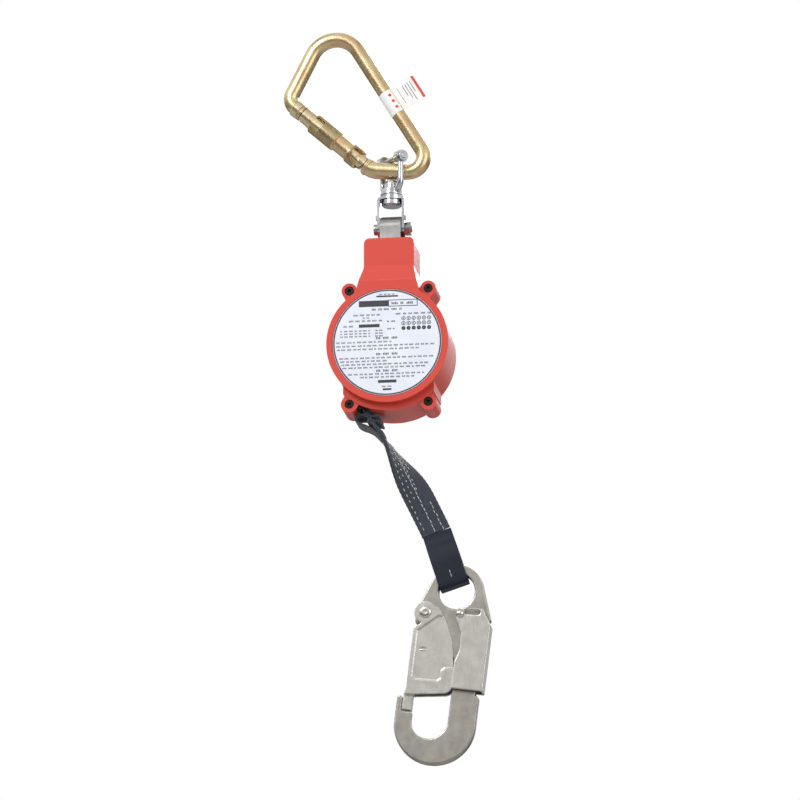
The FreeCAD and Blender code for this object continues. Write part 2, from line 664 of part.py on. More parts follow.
def make_clock_spring():
    case = disc(30.0, (-23.9, -19.0)).cut(disc(29.0, (-23.2, -18.0)))
    case = case.cut(disc(7.5, (-24.5, -23.0)))
    write("spring_case", case)
    pitch = 2.4
    inner = 8.2
    turns = 8
    thickness = 0.8
    edges = []
    far = []
    for index in range(2 * turns):
        way = 1 if index % 2 == 0 else -1
        shift = -pitch / 4 if index % 2 else pitch / 4
        radius = inner + pitch / 4 + index * pitch / 2
        centre = drum_point(shift, 0, -23.0)
        for offset, store in ((0.0, edges), (thickness, far)):
            r = radius + offset
            start = centre + Vector(-way * r, 0, 0)
            top = centre + Vector(0, 0, way * r)
            end = centre + Vector(way * r, 0, 0)
            store.append(Part.Arc(start, top, end).toShape())
    caps = []
    for place in ("FirstParameter", "LastParameter"):
        index = 0 if place == "FirstParameter" else -1
        one = edges[index].valueAt(getattr(edges[index], place))
        two = far[index].valueAt(getattr(far[index], place))
        caps.append(Part.LineSegment(one, two).toShape())
    face = Part.Face(Part.Wire(Part.__sortEdges__(edges + far + caps)))
    write("clock_spring", face.extrude(Vector(0, 3.8, 0)))


def make_web_guide():
    guide = block((-4.4, 4.4), (-16.4, 16.4), (-1.5, 8.0))
    guide = guide.cut(block((-1.6, 1.6), (-13.2, 13.2), (-3, 10)))
    write("web_guide", at_exit(guide))
    feed = block((-WEB_T / 2, WEB_T / 2), (-WEB_HALF, WEB_HALF), (-1.5, 36.0))
    write("web_feed", at_exit(feed))


# ---------------------------------------------------------------- drum

def make_drum():
    shaft = disc(SHAFT_R, (-23.0, 23.6))
    write("main_shaft", shaft)
    hub = ring(HUB_R, SHAFT_R + FIXED, (-FLANGE_Y[0], FLANGE_Y[0]))
    hub = hub.cut(disc(2.0 + FIXED, (-20, 20), 10.5, 0))
    write("drum_hub", hub)
    write("web_anchor_pin", disc(2.0, (-FLANGE_Y[0], FLANGE_Y[0]), 10.5, 0))
    sides = [sorted((way * FLANGE_Y[0], way * FLANGE_Y[1])) for way in (-1, 1)]
    flanges = [ring(FLANGE_R, SHAFT_R + FIXED, side) for side in sides]
    write("drum_flanges", *flanges)
    write("web_roll", ring(ROLL_R, HUB_R + 0.1, (-WEB_HALF, WEB_HALF)))
    clips = [ring(7.0, SHAFT_R + FIXED, (-19.4, -18.6)), ring(7.0, SHAFT_R + FIXED, (20.2, 21.0))]
    write("shaft_clips", *clips)


def make_pawl_carrier():
    carrier = ring(19.0, SHAFT_R + FIXED, (18.7, 19.9))
    pins = []
    for side in (-1, 1):
        carrier = carrier.cut(disc(1.5 + FIXED, (18, 21), side * PAWL_PIVOT_R, 0))
        pins.append(disc(1.5, (18.7, 23.4), side * PAWL_PIVOT_R, 0))
    write("pawl_carrier", carrier)
    write("pawl_pins", *pins)


def tooth_offset():
    """Angle of the first tooth, so that a swung pawl meets a gap."""
    return 31.0 - 180.0 / TEETH


def pawl():
    """Pawl of the right-hand pivot, its arm upwards."""
    y = (20.1, 22.3)
    root = PAWL_PIVOT_R
    arm = cell((root - PAWL_HALF, root + PAWL_HALF), y, (0, PAWL_LENGTH))
    boss = disc(3.2, y, root, 0)
    return arm.fuse(boss).cut(disc(1.5 + RUNNING, (18, 24), root, 0)).removeSplitter()


def make_pawls():
    one = pawl()
    write("pawl_a", one)
    write("pawl_b", one.rotated(drum_point(0, 0), Y_AXIS, 180))
    springs = [ring(3.0, 1.5 + FIXED, (22.5, 23.3), side * PAWL_PIVOT_R, 0) for side in (-1, 1)]
    write("pawl_springs", *springs)


# ---------------------------------------------------------------- lifeline

def web_stop():
    """Folded end of the web, with the small eye that its hairpin leaves."""
    stop = plate_xz(STOP_OUTLINE, (-WEB_HALF, WEB_HALF))
    return stop.cut(rod(STOP_EYE_R, depth(*STOP_EYE, -WEB_HALF - 1), depth(*STOP_EYE, WEB_HALF + 1)))


def strip_section(point, along, twist):
    """Cross-section of the flat web, turned about its own line."""
    side = Vector(along.z, 0, -along.x)
    spin = Rotation(along, twist)
    across = spin.multVec(Y_AXIS) * WEB_HALF
    out = spin.multVec(side) * (LIFELINE_T / 2)
    corners = [point + across + out, point - across + out, point - across - out, point + across - out]
    return Part.makePolygon(corners + corners[:1])


def on_loop(shape):
    """Place a shape drawn up from the fold, its width along X."""
    return placed(shape, FOLD, -LOOP_TILT)


def make_lifeline_web():
    tilt = math.radians(LOOP_TILT)
    up = Vector(-math.sin(tilt), 0, math.cos(tilt))
    points = [Vector(x, 0, z) for x, z in ROUTE]
    points.append(FOLD + up * (LOOP_TOP + FLEX_GAP))
    twists = TWIST[:len(ROUTE)] + [90.0]
    sections = []
    for index, point in enumerate(points):
        before = points[max(index - 1, 0)]
        after = points[min(index + 1, len(points) - 1)]
        along = (after - before).normalize()
        if index == len(points) - 1:
            along = up * -1
        sections.append(strip_section(point, along, twists[index]))
    web = Part.makeLoft(sections, True, True)
    stop = web_stop()
    write("lifeline_web", web.cut(stop).cut(stop.translated(STOP_GAP)))
    write("web_stop", stop)


def make_wear_sleeve():
    out = LOOP_IN + LOOP_T
    outer = [(-out, 0, 6.0), (out, 0, 6.0), (out, 25, 8), (1.9, LOOP_TOP, 0), (-1.9, LOOP_TOP, 0),
             (-out, 25, 8)]
    inner = [(-LOOP_IN, LOOP_T, 4.0), (LOOP_IN, LOOP_T, 4.0), (LOOP_IN, 24, 6), (0, 39, 0),
             (-LOOP_IN, 24, 6)]
    loop = plate_yz(outer, (-LOOP_HALF, LOOP_HALF)).cut(plate_yz(inner, (-LOOP_HALF - 1, LOOP_HALF + 1)))
    write("wear_sleeve", on_loop(loop))


# ---------------------------------------------------------------- snap hook

def on_hook(shape):
    return placed(shape, EYE, HOOK_TILT)


def through(centre, radius, half):
    """Bar front to back through a point of the hook."""
    return rod(radius, Vector(centre.x, -half, centre.z), Vector(centre.x, half, centre.z))


def make_hook_body():
    y = (-HOOK_HALF, HOOK_HALF)
    body = through(Vector(0, 0, 0), EYE_OUTER_R, HOOK_HALF)
    body = body.fuse(plate_xz(SHANK_OUTLINE, y))
    bowl = through(BOWL, BOWL_R, HOOK_HALF).common(block((-60, 60), y, (-160, BOWL.z)))
    left = BOWL.x - BOWL_R
    bowl = bowl.fuse(block((left, GULLET.x), y, (BOWL.z, -104.6)))
    lip = [(left, -105, 0), (left, -91.5, 2.0), (-34.0, -91.5, 2.0), (-34.0, -105, 0)]
    bowl = bowl.fuse(plate_xz(lip, y))
    body = body.fuse(bowl)
    body = body.cut(through(Vector(0, 0, 0), EYE_R, 9))
    body = body.cut(through(GULLET, GULLET_R, 9))
    body = body.cut(block((GULLET.x - GULLET_R, 5.8), (-9, 9), (GULLET.z, -63)))
    body = body.cut(through(RIVET, RIVET_R + FIXED, 9))
    body = body.cut(through(LOCK_PIN, LOCK_PIN_R + FIXED, 9))
    write("hook_body", on_hook(body.removeSplitter()))


def headed_pin(centre, radius, head_r, head_y):
    """Pin from front to back with a flat head at both ends."""
    pin = through(centre, radius, head_y[0])
    for way in (-1, 1):
        under = Vector(centre.x, way * head_y[0], centre.z)
        pin = pin.fuse(rod(head_r, under, Vector(centre.x, way * head_y[1], centre.z)))
    return pin


def make_hook_pins():
    write("hook_rivet", on_hook(headed_pin(RIVET, RIVET_R, HEAD_R, HEAD_Y)))
    write("lock_pin", on_hook(headed_pin(LOCK_PIN, LOCK_PIN_R, LOCK_HEAD_R, LOCK_HEAD_Y)))


def paired_plates(outline, y):
    """The same plate on the front and on the back."""
    front = plate_xz(outline, (-y[1], -y[0]))
    return front.fuse(plate_xz(outline, y))


def make_hook_gate():
    gate = paired_plates(GATE_OUTLINE, GATE_PLATE_Y)
    for way in (-1, 1):
        low, high = sorted((way * GATE_PLATE_Y[0], way * GATE_PLATE_Y[1]))
        eye = rod(GATE_EYE_R, Vector(RIVET.x, low, RIVET.z), Vector(RIVET.x, high, RIVET.z))
        gate = gate.fuse(eye)
    full = (-GATE_PLATE_Y[1], GATE_PLATE_Y[1])
    left, foot = GATE_FOOT
    gate = gate.fuse(block((left, left + GATE_WALL), full, (foot, -38.0)))
    gate = gate.fuse(block((left, -24.5), full, (foot, -84.0)))
    gate = gate.fuse(block(LATCH_X, (-LATCH_HALF, LATCH_HALF), LATCH_Z))
    gate = gate.cut(through(RIVET, RIVET_R + RUNNING, 9))
    write("hook_gate", on_hook(gate.removeSplitter()))
    spring = coil(2.8, 0.8, 19.0, 8, Vector(-29.9, 0, -42.0), X_AXIS)
    write("hook_gate_spring", on_hook(spring))


def make_lock_lever():
    lever = paired_plates(LEVER_OUTLINE, LEVER_PLATE_Y)
    full = (-LEVER_PLATE_Y[1], LEVER_PLATE_Y[1])
    lever = lever.fuse(block(LEVER_WALL, full, (-83.5, -27.5)))
    lever = lever.cut(plate_xz(LEVER_SLOT, (-9, 9)))
    lever = lever.cut(through(LOCK_PIN, LOCK_PIN_R + RUNNING, 9))
    write("lock_lever", on_hook(lever.removeSplitter()))
    spring = coil(2.4, 0.7, 3.2, 3, Vector(26.6, 0, -62.0), X_AXIS)
    write("lock_spring", on_hook(spring))


make_carabiner_frame()
make_hinge_pin()
make_tag()
make_carabiner_gate()
make_gate_spring_set()
make_lock_sleeve()
make_shackle_bow()
make_clevis_pin()
make_swivel_stud()
make_thrust_washers()
make_stirrup()
make_cross_bolt()
make_front_cover()
make_rear_cover()
make_label_plate()
make_cover_screws()
make_load_frame()
make_shaft_bushes()
make_brake()
make_clock_spring()
make_web_guide()
make_drum()
make_pawl_carrier()
make_pawls()
make_lifeline_web()
make_wear_sleeve()
make_hook_body()
make_hook_pins()
make_hook_gate()
make_lock_lever()
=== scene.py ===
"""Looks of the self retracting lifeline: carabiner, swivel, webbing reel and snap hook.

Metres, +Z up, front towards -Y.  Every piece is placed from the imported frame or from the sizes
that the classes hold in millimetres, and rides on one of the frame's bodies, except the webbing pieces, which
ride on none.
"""
import sys
import logging
import math
from dataclasses import dataclass, field
from enum import Enum
from typing import Callable, Iterable, Optional, Sequence

import bpy
from mathutils import Matrix, Vector

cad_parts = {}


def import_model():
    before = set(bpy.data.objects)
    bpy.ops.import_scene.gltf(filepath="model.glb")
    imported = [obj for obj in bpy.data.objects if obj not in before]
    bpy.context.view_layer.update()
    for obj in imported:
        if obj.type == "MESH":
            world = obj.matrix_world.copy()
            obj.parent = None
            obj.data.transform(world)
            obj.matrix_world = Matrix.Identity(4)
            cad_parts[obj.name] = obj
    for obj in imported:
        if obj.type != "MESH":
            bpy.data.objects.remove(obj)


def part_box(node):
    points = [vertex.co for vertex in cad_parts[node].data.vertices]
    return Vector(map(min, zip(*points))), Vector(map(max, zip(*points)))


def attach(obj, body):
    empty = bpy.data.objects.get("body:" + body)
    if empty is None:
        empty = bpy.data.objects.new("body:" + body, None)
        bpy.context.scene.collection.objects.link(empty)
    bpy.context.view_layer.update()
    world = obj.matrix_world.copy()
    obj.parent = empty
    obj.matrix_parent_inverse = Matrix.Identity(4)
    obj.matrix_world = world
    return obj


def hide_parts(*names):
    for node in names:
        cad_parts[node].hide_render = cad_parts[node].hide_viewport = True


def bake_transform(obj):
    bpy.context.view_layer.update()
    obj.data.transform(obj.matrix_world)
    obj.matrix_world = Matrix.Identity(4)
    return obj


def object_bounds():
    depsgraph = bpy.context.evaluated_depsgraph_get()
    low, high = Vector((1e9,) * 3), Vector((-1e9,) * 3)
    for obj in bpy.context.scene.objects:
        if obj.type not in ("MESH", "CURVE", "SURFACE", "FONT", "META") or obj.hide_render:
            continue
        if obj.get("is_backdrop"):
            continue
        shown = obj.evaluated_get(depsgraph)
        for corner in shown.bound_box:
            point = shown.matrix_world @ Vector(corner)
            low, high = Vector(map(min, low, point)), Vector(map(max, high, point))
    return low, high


MM = 0.001
SMOOTH_ANGLE = math.radians(35)
COPY_MERGE = 0.002          # corners of a frame node's mesh nearer than this, in mm, are one
COPY_FLAT = 0.3             # faces nearer to one plane than this, in degrees, are one
SHELL_FLAT = 0.4            # the same for the housing's two covers
PIN_FLAT = 0.6              # the same for the gate's hinge pin
PRESSED_GRAIN = 0.42        # grain of a pressed plate's softened edges, in mm
PRESSED_PASSES = 4
FORGED_GRAIN = 0.55         # grain of the forged plate's rolled edges, in mm
FORGED_PASSES = 14
LOG = logging.getLogger("lifeline")

Colour = tuple[float, float, float, float]
Place = tuple[float, float, float]
Spot = tuple[float, float]          # (x, z), (radius, height) or (across, up), in millimetres
Mesh = bpy.types.Object
Socket = bpy.types.NodeSocket


class Side(Enum):
    """Face of the object that a mirrored piece stands on."""

    FRONT = -1
    BACK = 1


class Layer(Enum):
    """Coordinates that a finish is laid out in, by the name of their socket."""

    OBJECT = "Object"
    LAYOUT = "UV"


# ------------------------------------------------------------------ workbench

def linear(code: str) -> Colour:
    """Turn an sRGB hex code into linear light.

    Args:
        code: colour as "#rrggbb".

    Returns:
        Linear red, green, blue and a full alpha.
    """
    parts = [int(code[i:i + 2], 16) / 255 for i in (1, 3, 5)]
    light = [c / 12.92 if c <= 0.04045 else ((c + 0.055) / 1.055) ** 2.4 for c in parts]
    return (light[0], light[1], light[2], 1.0)


def mm(*values: float) -> Vector:
    """Point in metres from millimetres."""
    return Vector(values) * MM


def deselect() -> None:
    """Leave nothing selected."""
    if bpy.context.object and bpy.context.object.mode != "OBJECT":
        bpy.ops.object.mode_set(mode="OBJECT")
    bpy.ops.object.select_all(action="DESELECT")


def pick(obj: Mesh) -> None:
    """Select one object alone and make it the active one."""
    deselect()
    obj.select_set(True)
    bpy.context.view_layer.objects.active = obj


def edited(obj: Mesh, *steps: Callable[[], object]) -> Mesh:
    """Run steps on the whole mesh in edit mode.

    Args:
        obj: mesh object.
        steps: what to do, in order; everything is selected before each one.

    Returns:
        The same object.
    """
    pick(obj)
    bpy.ops.object.mode_set(mode="EDIT")
    for step in steps:
        bpy.ops.mesh.select_all(action="SELECT")
        step()
    bpy.ops.object.mode_set(mode="OBJECT")
    return obj


def outwards() -> None:
    """Turn the selected faces outwards."""
    bpy.ops.mesh.normals_make_consistent(inside=False)


def thickened(obj: Mesh, depth: float) -> Mesh:
    """Extrude a flat mesh along Y.

    Args:
        obj: flat mesh object.
        depth: how far it is extruded in millimetres; less than 0 is towards the front.

    Returns:
        The same object, closed.
    """
    move = {"value": (0, depth * MM, 0)}
    return edited(obj, lambda: bpy.ops.mesh.extrude_region_move(TRANSFORM_OT_translate=move), outwards)


def settle(obj: Mesh) -> Mesh:
    """Put an object's place into its mesh, so that it sits at the origin.

    Args:
        obj: a mesh object.

    Returns:
        The same object.
    """
    pick(obj)
    bpy.ops.object.transform_apply(location=True, rotation=True, scale=True)
    return obj


def from_data(name: str, points: Sequence[Sequence[float]], edges: Sequence[Sequence[int]],
              faces: Sequence[Sequence[int]]) -> Mesh:
    """Make a mesh object from points, edges and faces.

    Args:
        name: object name.
        points: corner places in metres.
        edges: pairs of point numbers.
        faces: loops of point numbers.

    Returns:
        The new object, selected alone.
    """
    mesh = bpy.data.meshes.new(name)
    mesh.from_pydata([tuple(p) for p in points], edges, faces)
    mesh.update()
    obj = bpy.data.objects.new(name, mesh)
    bpy.context.scene.collection.objects.link(obj)
    pick(obj)
    return obj


def modify(obj: Mesh, kind: str, **settings: object) -> Mesh:
    """Add one modifier and apply it.

    Args:
        obj: mesh object.
        kind: modifier type.
        settings: values set on the modifier.

    Returns:
        The same object.
    """
    pick(obj)
    modifier = obj.modifiers.new(kind.lower(), kind)
    for key, value in settings.items():
        setattr(modifier, key, value)
    bpy.ops.object.modifier_apply(modifier=modifier.name)
    return obj


def rounded(obj: Mesh, width: float, segments: int = 3, angle: float = 32.0) -> Mesh:
    """Round the sharp edges of a mesh.

    Args:
        obj: mesh object.
        width: size of the rounding in millimetres.
        segments: steps in each rounding.
        angle: edges sharper than this many degrees are rounded.

    Returns:
        The same object.
    """
    return modify(obj, "BEVEL", width=width * MM, segments=segments, limit_method="ANGLE",
                  angle_limit=math.radians(angle), miter_outer="MITER_ARC", use_clamp_overlap=True)


def softened(obj: Mesh, grain: float, passes: int) -> Mesh:
    """Give a solid the soft edges of a tumbled forging or pressing.

    Args:
        obj: mesh object, a closed solid.
        grain: spacing of the new mesh in millimetres.
        passes: how often its points are evened out, which widens the rounding.

    Returns:
        The same object.
    """
    modify(obj, "REMESH", mode="VOXEL", voxel_size=grain * MM)
    return modify(obj, "SMOOTH", factor=0.5, iterations=passes)


def recalculated(obj: Mesh, merge: float = 0.001) -> Mesh:
    """Merge doubled points and turn all faces outwards.

    Args:
        obj: mesh object.
        merge: merging distance in millimetres.

    Returns:
        The same object.
    """
    return edited(obj, lambda: bpy.ops.mesh.remove_doubles(threshold=merge * MM), outwards)


def joined(name: str, parts: Sequence[Mesh]) -> Mesh:
    """Join several meshes into one object.

    Args:
        name: name of the result.
        parts: mesh objects; the first keeps its materials.

    Returns:
        The joined object.
    """
    deselect()
    for part in parts:
        part.select_set(True)
    bpy.context.view_layer.objects.active = parts[0]
    if len(parts) > 1:
        bpy.ops.object.join()
    parts[0].name = name
    return parts[0]


def node_copy(node: str, name: str, flat: float = COPY_FLAT) -> Mesh:
    """Copy a frame node's mesh, merged and with its flat faces made whole.

    Args:
        node: frame node.
        name: name of the copy.
        flat: faces nearer to one plane than this many degrees become one.

    Returns:
        The copy, selected alone.
    """
    source = bpy.data.objects[node]
    obj = bpy.data.objects.new(name, source.data.copy())
    obj.data.materials.clear()
    bpy.context.scene.collection.objects.link(obj)
    pick(obj)
    bpy.ops.object.mode_set(mode="EDIT")
    bpy.ops.mesh.select_all(action="SELECT")
    bpy.ops.mesh.remove_doubles(threshold=COPY_MERGE * MM)
    bpy.ops.mesh.dissolve_limited(angle_limit=math.radians(flat))
    bpy.ops.mesh.normals_make_consistent(inside=False)
    bpy.ops.object.mode_set(mode="OBJECT")
    return obj


def eased_copy(node: str, name: str, ease: float, segments: int = 3, angle: float = 32.0,
               flat: float = COPY_FLAT) -> Mesh:
    """Copy a frame node's mesh and round its edges.

    Args:
        node: frame node.
        name: name of the copy.
        ease: size of the rounding in millimetres.
        segments: steps in each rounding.
        angle: edges sharper than this many degrees are rounded.
        flat: faces nearer to one plane than this many degrees become one.

    Returns:
        The rounded copy.
    """
    return rounded(node_copy(node, name, flat), ease, segments, angle)


def axis_turn(direction: Vector) -> Matrix:
    """Rotation that carries +Z onto a direction.

    Args:
        direction: any vector that isn't zero.

    Returns:
        A 4 x 4 rotation.
    """
    return direction.to_track_quat("Z", "Y").to_matrix().to_4x4()


def pebble(middle: Vector, halves: Vector, steps: int) -> Mesh:
    """Stretched ball.

    Args:
        middle: its middle in metres.
        halves: half its length, depth and height in metres.
        steps: faces round it.

    Returns:
        The ball.
    """
    deselect()
    bpy.ops.mesh.primitive_uv_sphere_add(segments=steps, ring_count=steps // 2, radius=1.0)
    ball = bpy.context.object
    ball.matrix_world = Matrix.Translation(middle) @ Matrix.Diagonal((*halves, 1.0))
    return settle(ball)


def turned(name: str, profile: Sequence[Spot], base: Vector, direction: Vector,
           steps: int = 48) -> Mesh:
    """Turn a profile about an axis, as on a lathe.

    Args:
        name: object name.
        profile: (radius, height) pairs in millimetres; a radius of 0 closes an end.
        base: place of height 0 in metres.
        direction: way that height runs.
        steps: faces round the axis.

    Returns:
        The turned object at its place.
    """
    points = [mm(radius, 0, height) for radius, height in profile]
    closed = profile[0][0] > 0 and profile[-1][0] > 0
    edges = [(i, i + 1) for i in range(len(points) - 1)]
    if closed:
        edges.append((len(points) - 1, 0))
    obj = edited(from_data(name, points, edges, []), lambda: bpy.ops.mesh.spin(
        steps=steps, angle=math.tau, center=(0, 0, 0), axis=(0, 0, 1)))
    recalculated(obj)
    obj.matrix_world = Matrix.Translation(base) @ axis_turn(direction)
    return settle(obj)


def collar(outer: float, inner: float, low: float, high: float, ease: float = 0.3) -> list[Spot]:
    """Profile of a ring with eased outer edges.

    Args:
        outer: outer radius in millimetres.
        inner: inner radius.
        low: lower end.
        high: upper end.
        ease: size of the easing.

    Returns:
        A closed profile for turned().
    """
    return [(inner, low), (outer - ease, low), (outer, low + ease), (outer, high - ease),
            (outer - ease, high), (inner, high)]


def cut_away(obj: Mesh, tool: Mesh) -> Mesh:
    """Cut one closed mesh from another and drop the tool.

    Args:
        obj: mesh that is cut.
        tool: mesh that cuts.

    Returns:
        The cut object.
    """
    modify(obj, "BOOLEAN", operation="DIFFERENCE", object=tool, solver="EXACT")
    bpy.data.objects.remove(tool, do_unlink=True)
    return obj


def plate(name: str, outline: Sequence[Spot], depth: Spot) -> Mesh:
    """Extrude an outline of (x, z) points from one depth to another.

    Args:
        name: object name.
        outline: corner places in millimetres, in order.
        depth: two values of y in millimetres.

    Returns:
        The plate.
    """
    points = [mm(x, depth[0], z) for x, z in outline]
    return thickened(from_data(name, points, [], [list(range(len(points)))]), depth[1] - depth[0])


def tube_along(name: str, points: Sequence[Vector], radius: float) -> Mesh:
    """Round bar along a smooth line.

    Args:
        name: object name.
        points: places in metres.
        radius: bar radius in millimetres.

    Returns:
        The bar as a mesh.
    """
    curve = bpy.data.curves.new(name, "CURVE")
    curve.dimensions = "3D"
    curve.bevel_depth = radius * MM
    curve.bevel_resolution = 1
    curve.use_fill_caps = True
    spline = curve.splines.new("POLY")
    spline.points.add(len(points) - 1)
    for place, point in zip(spline.points, points):
        place.co = (*point, 1.0)
    obj = bpy.data.objects.new(name, curve)
    bpy.context.scene.collection.objects.link(obj)
    pick(obj)
    bpy.ops.object.convert(target="MESH")
    return recalculated(bpy.context.object)


def ready(obj: Mesh, body: Optional[str], finish: "Finish", replaces: Sequence[str] = (),
          smooth: bool = True) -> Mesh:
    """Dress a finished piece, shade it, and say what it rides on.

    Args:
        obj: finished mesh at its place.
        body: frame body that carries it; None for a piece that blends between two.
        finish: its surface.
        replaces: frame nodes that it stands for.
        smooth: whether its faces are shaded smooth up to the usual angle.

    Returns:
        The same object.
    """
    settle(obj)
    if not obj.data.materials:
        obj.data.materials.append(finish.material())
    if smooth:
        bpy.ops.object.shade_smooth_by_angle(angle=SMOOTH_ANGLE)
        modify(obj, "WEIGHTED_NORMAL", mode="FACE_AREA_WITH_ANGLE", keep_sharp=True)
    if body:
        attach(obj, body)
    if replaces:
        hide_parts(*replaces)
    LOG.info("%-24s rides on %-15s %6d faces", obj.name, body or "two bodies", len(obj.data.polygons))
    return obj


# ------------------------------------------------------------------ finishes

class Bench:
    """Node bench of one material."""

    def __init__(self, name: str) -> None:
        """Start a material with its shader.

        Args:
            name: material name.
        """
        self.material = bpy.data.materials.new(name)
        self.material.use_nodes = True
        self.tree = self.material.node_tree
        self.shader = self.tree.nodes["Principled BSDF"]

    def feed(self, socket: Socket, value: object) -> None:
        """Link another node's socket to a socket, or set its value."""
        if isinstance(value, Socket):
            self.tree.links.new(value, socket)
        else:
            socket.default_value = value

    def add(self, kind: str, inputs: Optional[dict[object, object]] = None,
            **settings: object) -> bpy.types.Node:
        """Add one node.

        Args:
            kind: node type without its "ShaderNode" prefix.
            inputs: socket name or number to a value or to another node's socket.
            settings: values set on the node.

        Returns:
            The new node.
        """
        node = self.tree.nodes.new("ShaderNode" + kind)
        for key, value in settings.items():
            setattr(node, key, value)
        for key, value in (inputs or {}).items():
            self.feed(node.inputs[key], value)
        return node

    def math(self, operation: str, first: object, second: object = 0.0) -> Socket:
        """Add a math node and give its result."""
        return self.add("Math", {0: first, 1: second}, operation=operation).outputs[0]

    def noise(self, place: object, size: float, detail: float = 3.0, rough: float = 0.55,
              stretch: Place = (1.0, 1.0, 1.0)) -> Socket:
        """Add noise of a real size.

        Args:
            place: socket that gives the place in metres.
            size: size of its blots in millimetres.
            detail: octaves.
            rough: share of the fine octaves.
            stretch: how much longer the blots are along each axis.

        Returns:
            The noise, from 0 to 1.
        """
        scale = tuple(1 / s for s in stretch)
        mapped = self.add("Mapping", {"Vector": place, "Scale": scale})
        settings = {"Scale": 1 / (size * MM), "Detail": detail, "Roughness": rough}
        return self.add("TexNoise", {"Vector": mapped.outputs[0], **settings}).outputs["Fac"]

    def spread(self, fac: object, low: float, high: float, start: float = 0.0,
               end: float = 1.0) -> Socket:
        """Map a range of a value onto another range."""
        ranges = {"From Min": low, "From Max": high, "To Min": start, "To Max": end}
        return self.add("MapRange", {"Value": fac, **ranges}).outputs[0]

    def blend(self, fac: object, first: object, second: object) -> Socket:
        """Mix two colours by a value and give the result."""
        node = self.add("Mix", {"Factor": fac}, data_type="RGBA")
        self.feed(node.inputs[6], first)
        self.feed(node.inputs[7], second)
        return node.outputs[2]

    def tint(self, fac: object, first: str, second: str) -> Socket:
        """Mix two hex colours by a value."""
        return self.blend(fac, linear(first), linear(second))

    def place(self, layer: Layer = Layer.OBJECT) -> Socket:
        """Give the place on the object, or on the piece's own flat layout."""
        return self.add("TexCoord").outputs[layer.value]

    def split(self, layer: Layer) -> tuple[Socket, Socket]:
        """Give the first two parts of a place."""
        parts = self.add("SeparateXYZ", {0: self.place(layer)})
        return parts.outputs[0], parts.outputs[1]

    def waves(self, value: object, size: float) -> Socket:
        """Give ridges that rise and fall once in a size given in millimetres."""
        return self.math("PINGPONG", self.math("DIVIDE", value, size * MM), 0.5)

    def varied(self, noise: object, level: float, below: float, above: float) -> Socket:
        """Let a roughness wander with a noise, from so much below its level to so much above."""
        return self.spread(noise, 0.3, 0.7, level - below, level + above)

    def relief(self, height: object, depth: float, strength: float = 1.0,
               below: Optional[Socket] = None) -> Socket:
        """Turn a height into a surface relief.

        Args:
            height: value from 0 to 1.
            depth: its real depth in millimetres.
            strength: share of the full relief.
            below: a coarser relief that it sits on.

        Returns:
            The bent normal.
        """
        inputs = {"Height": height, "Distance": depth * MM, "Strength": strength}
        if below is not None:
            inputs["Normal"] = below
        return self.add("Bump", inputs).outputs[0]

    def set(self, **values: object) -> None:
        """Set or link the shader's sockets, with _ in place of a space."""
        for key, value in values.items():
            self.feed(self.shader.inputs[key.replace("_", " ")], value)


@dataclass(frozen=True)
class Finish:
    """Base of every finish: a slot name and a material made once."""

    name: str
    slot: str

    def material(self) -> bpy.types.Material:
        """Give the finish's material, made the first time it is asked for."""
        found = bpy.data.materials.get(self.name)
        if found is None:
            bench = Bench(self.name)
            self.paint(bench)
            found = bench.material
        return found

    def paint(self, bench: Bench) -> None:
        """Build the finish's nodes."""
        raise NotImplementedError


@dataclass(frozen=True)
class YellowZinc(Finish):
    """Yellow chromate over zinc plate: glossy gold with rosy and green patches and soft dark spots."""

    gold: str = "#d9c69c"
    rose: str = "#d0ab86"
    green: str = "#bdb88c"
    roughness: float = 0.3
    scratch: float = 0.3
    speck: str = "#7c6a44"

    def paint(self, bench: Bench) -> None:
        """Build the plated look."""
        place = bench.place()
        wide = bench.spread(bench.noise(place, 16.0, 2.0), 0.38, 0.62)
        small = bench.spread(bench.noise(place, 5.0, 4.0, 0.65), 0.42, 0.68)
        colour = bench.tint(wide, self.gold, self.rose)
        colour = bench.blend(bench.math("MULTIPLY", small, 0.6), colour, linear(self.green))
        specks = bench.spread(bench.noise(place, 0.7, 2.0), 0.62, 0.75, 0.0, 0.35)
        colour = bench.blend(specks, colour, linear(self.speck))
        rough = bench.varied(bench.noise(place, 2.2, 5.0, 0.7), self.roughness, 0.06, 0.1)
        grain = bench.relief(bench.noise(place, 1.1, 5.0, 0.7), 0.01, self.scratch)
        bench.set(Base_Color=colour, Metallic=1.0, Roughness=rough, Normal=grain)


@dataclass(frozen=True)
class Knurled(YellowZinc):
    """The same plating over a knurl of crossed cuts, in the sleeve's own flat layout, with painted shade in
    the bottoms of the cuts.
    """

    pitch: float = 1.9
    depth: float = 0.42
    # colour of the painted shade in the bottoms of the knurl's cuts
    cut_shade: str = "#5d4c2c"

    def paint(self, bench: Bench) -> None:
        """Build the knurl over the plated look, with painted shade in its cuts."""
        super().paint(bench)
        across, along = bench.split(Layer.LAYOUT)
        cuts = [bench.math("MULTIPLY", bench.waves(bench.math(way, along, across), self.pitch), 2.0)
                for way in ("ADD", "SUBTRACT")]
        height = bench.math("MINIMUM", *cuts)
        # painted shade: the plating darkens towards the bottoms of the cuts
        valley_shade = bench.spread(height, 0.0, 0.35, 0.45, 0.0)
        plating = bench.shader.inputs["Base Color"].links[0].from_socket
        bench.set(Base_Color=bench.blend(valley_shade, plating, linear(self.cut_shade)),
                  Normal=bench.relief(height, self.depth))


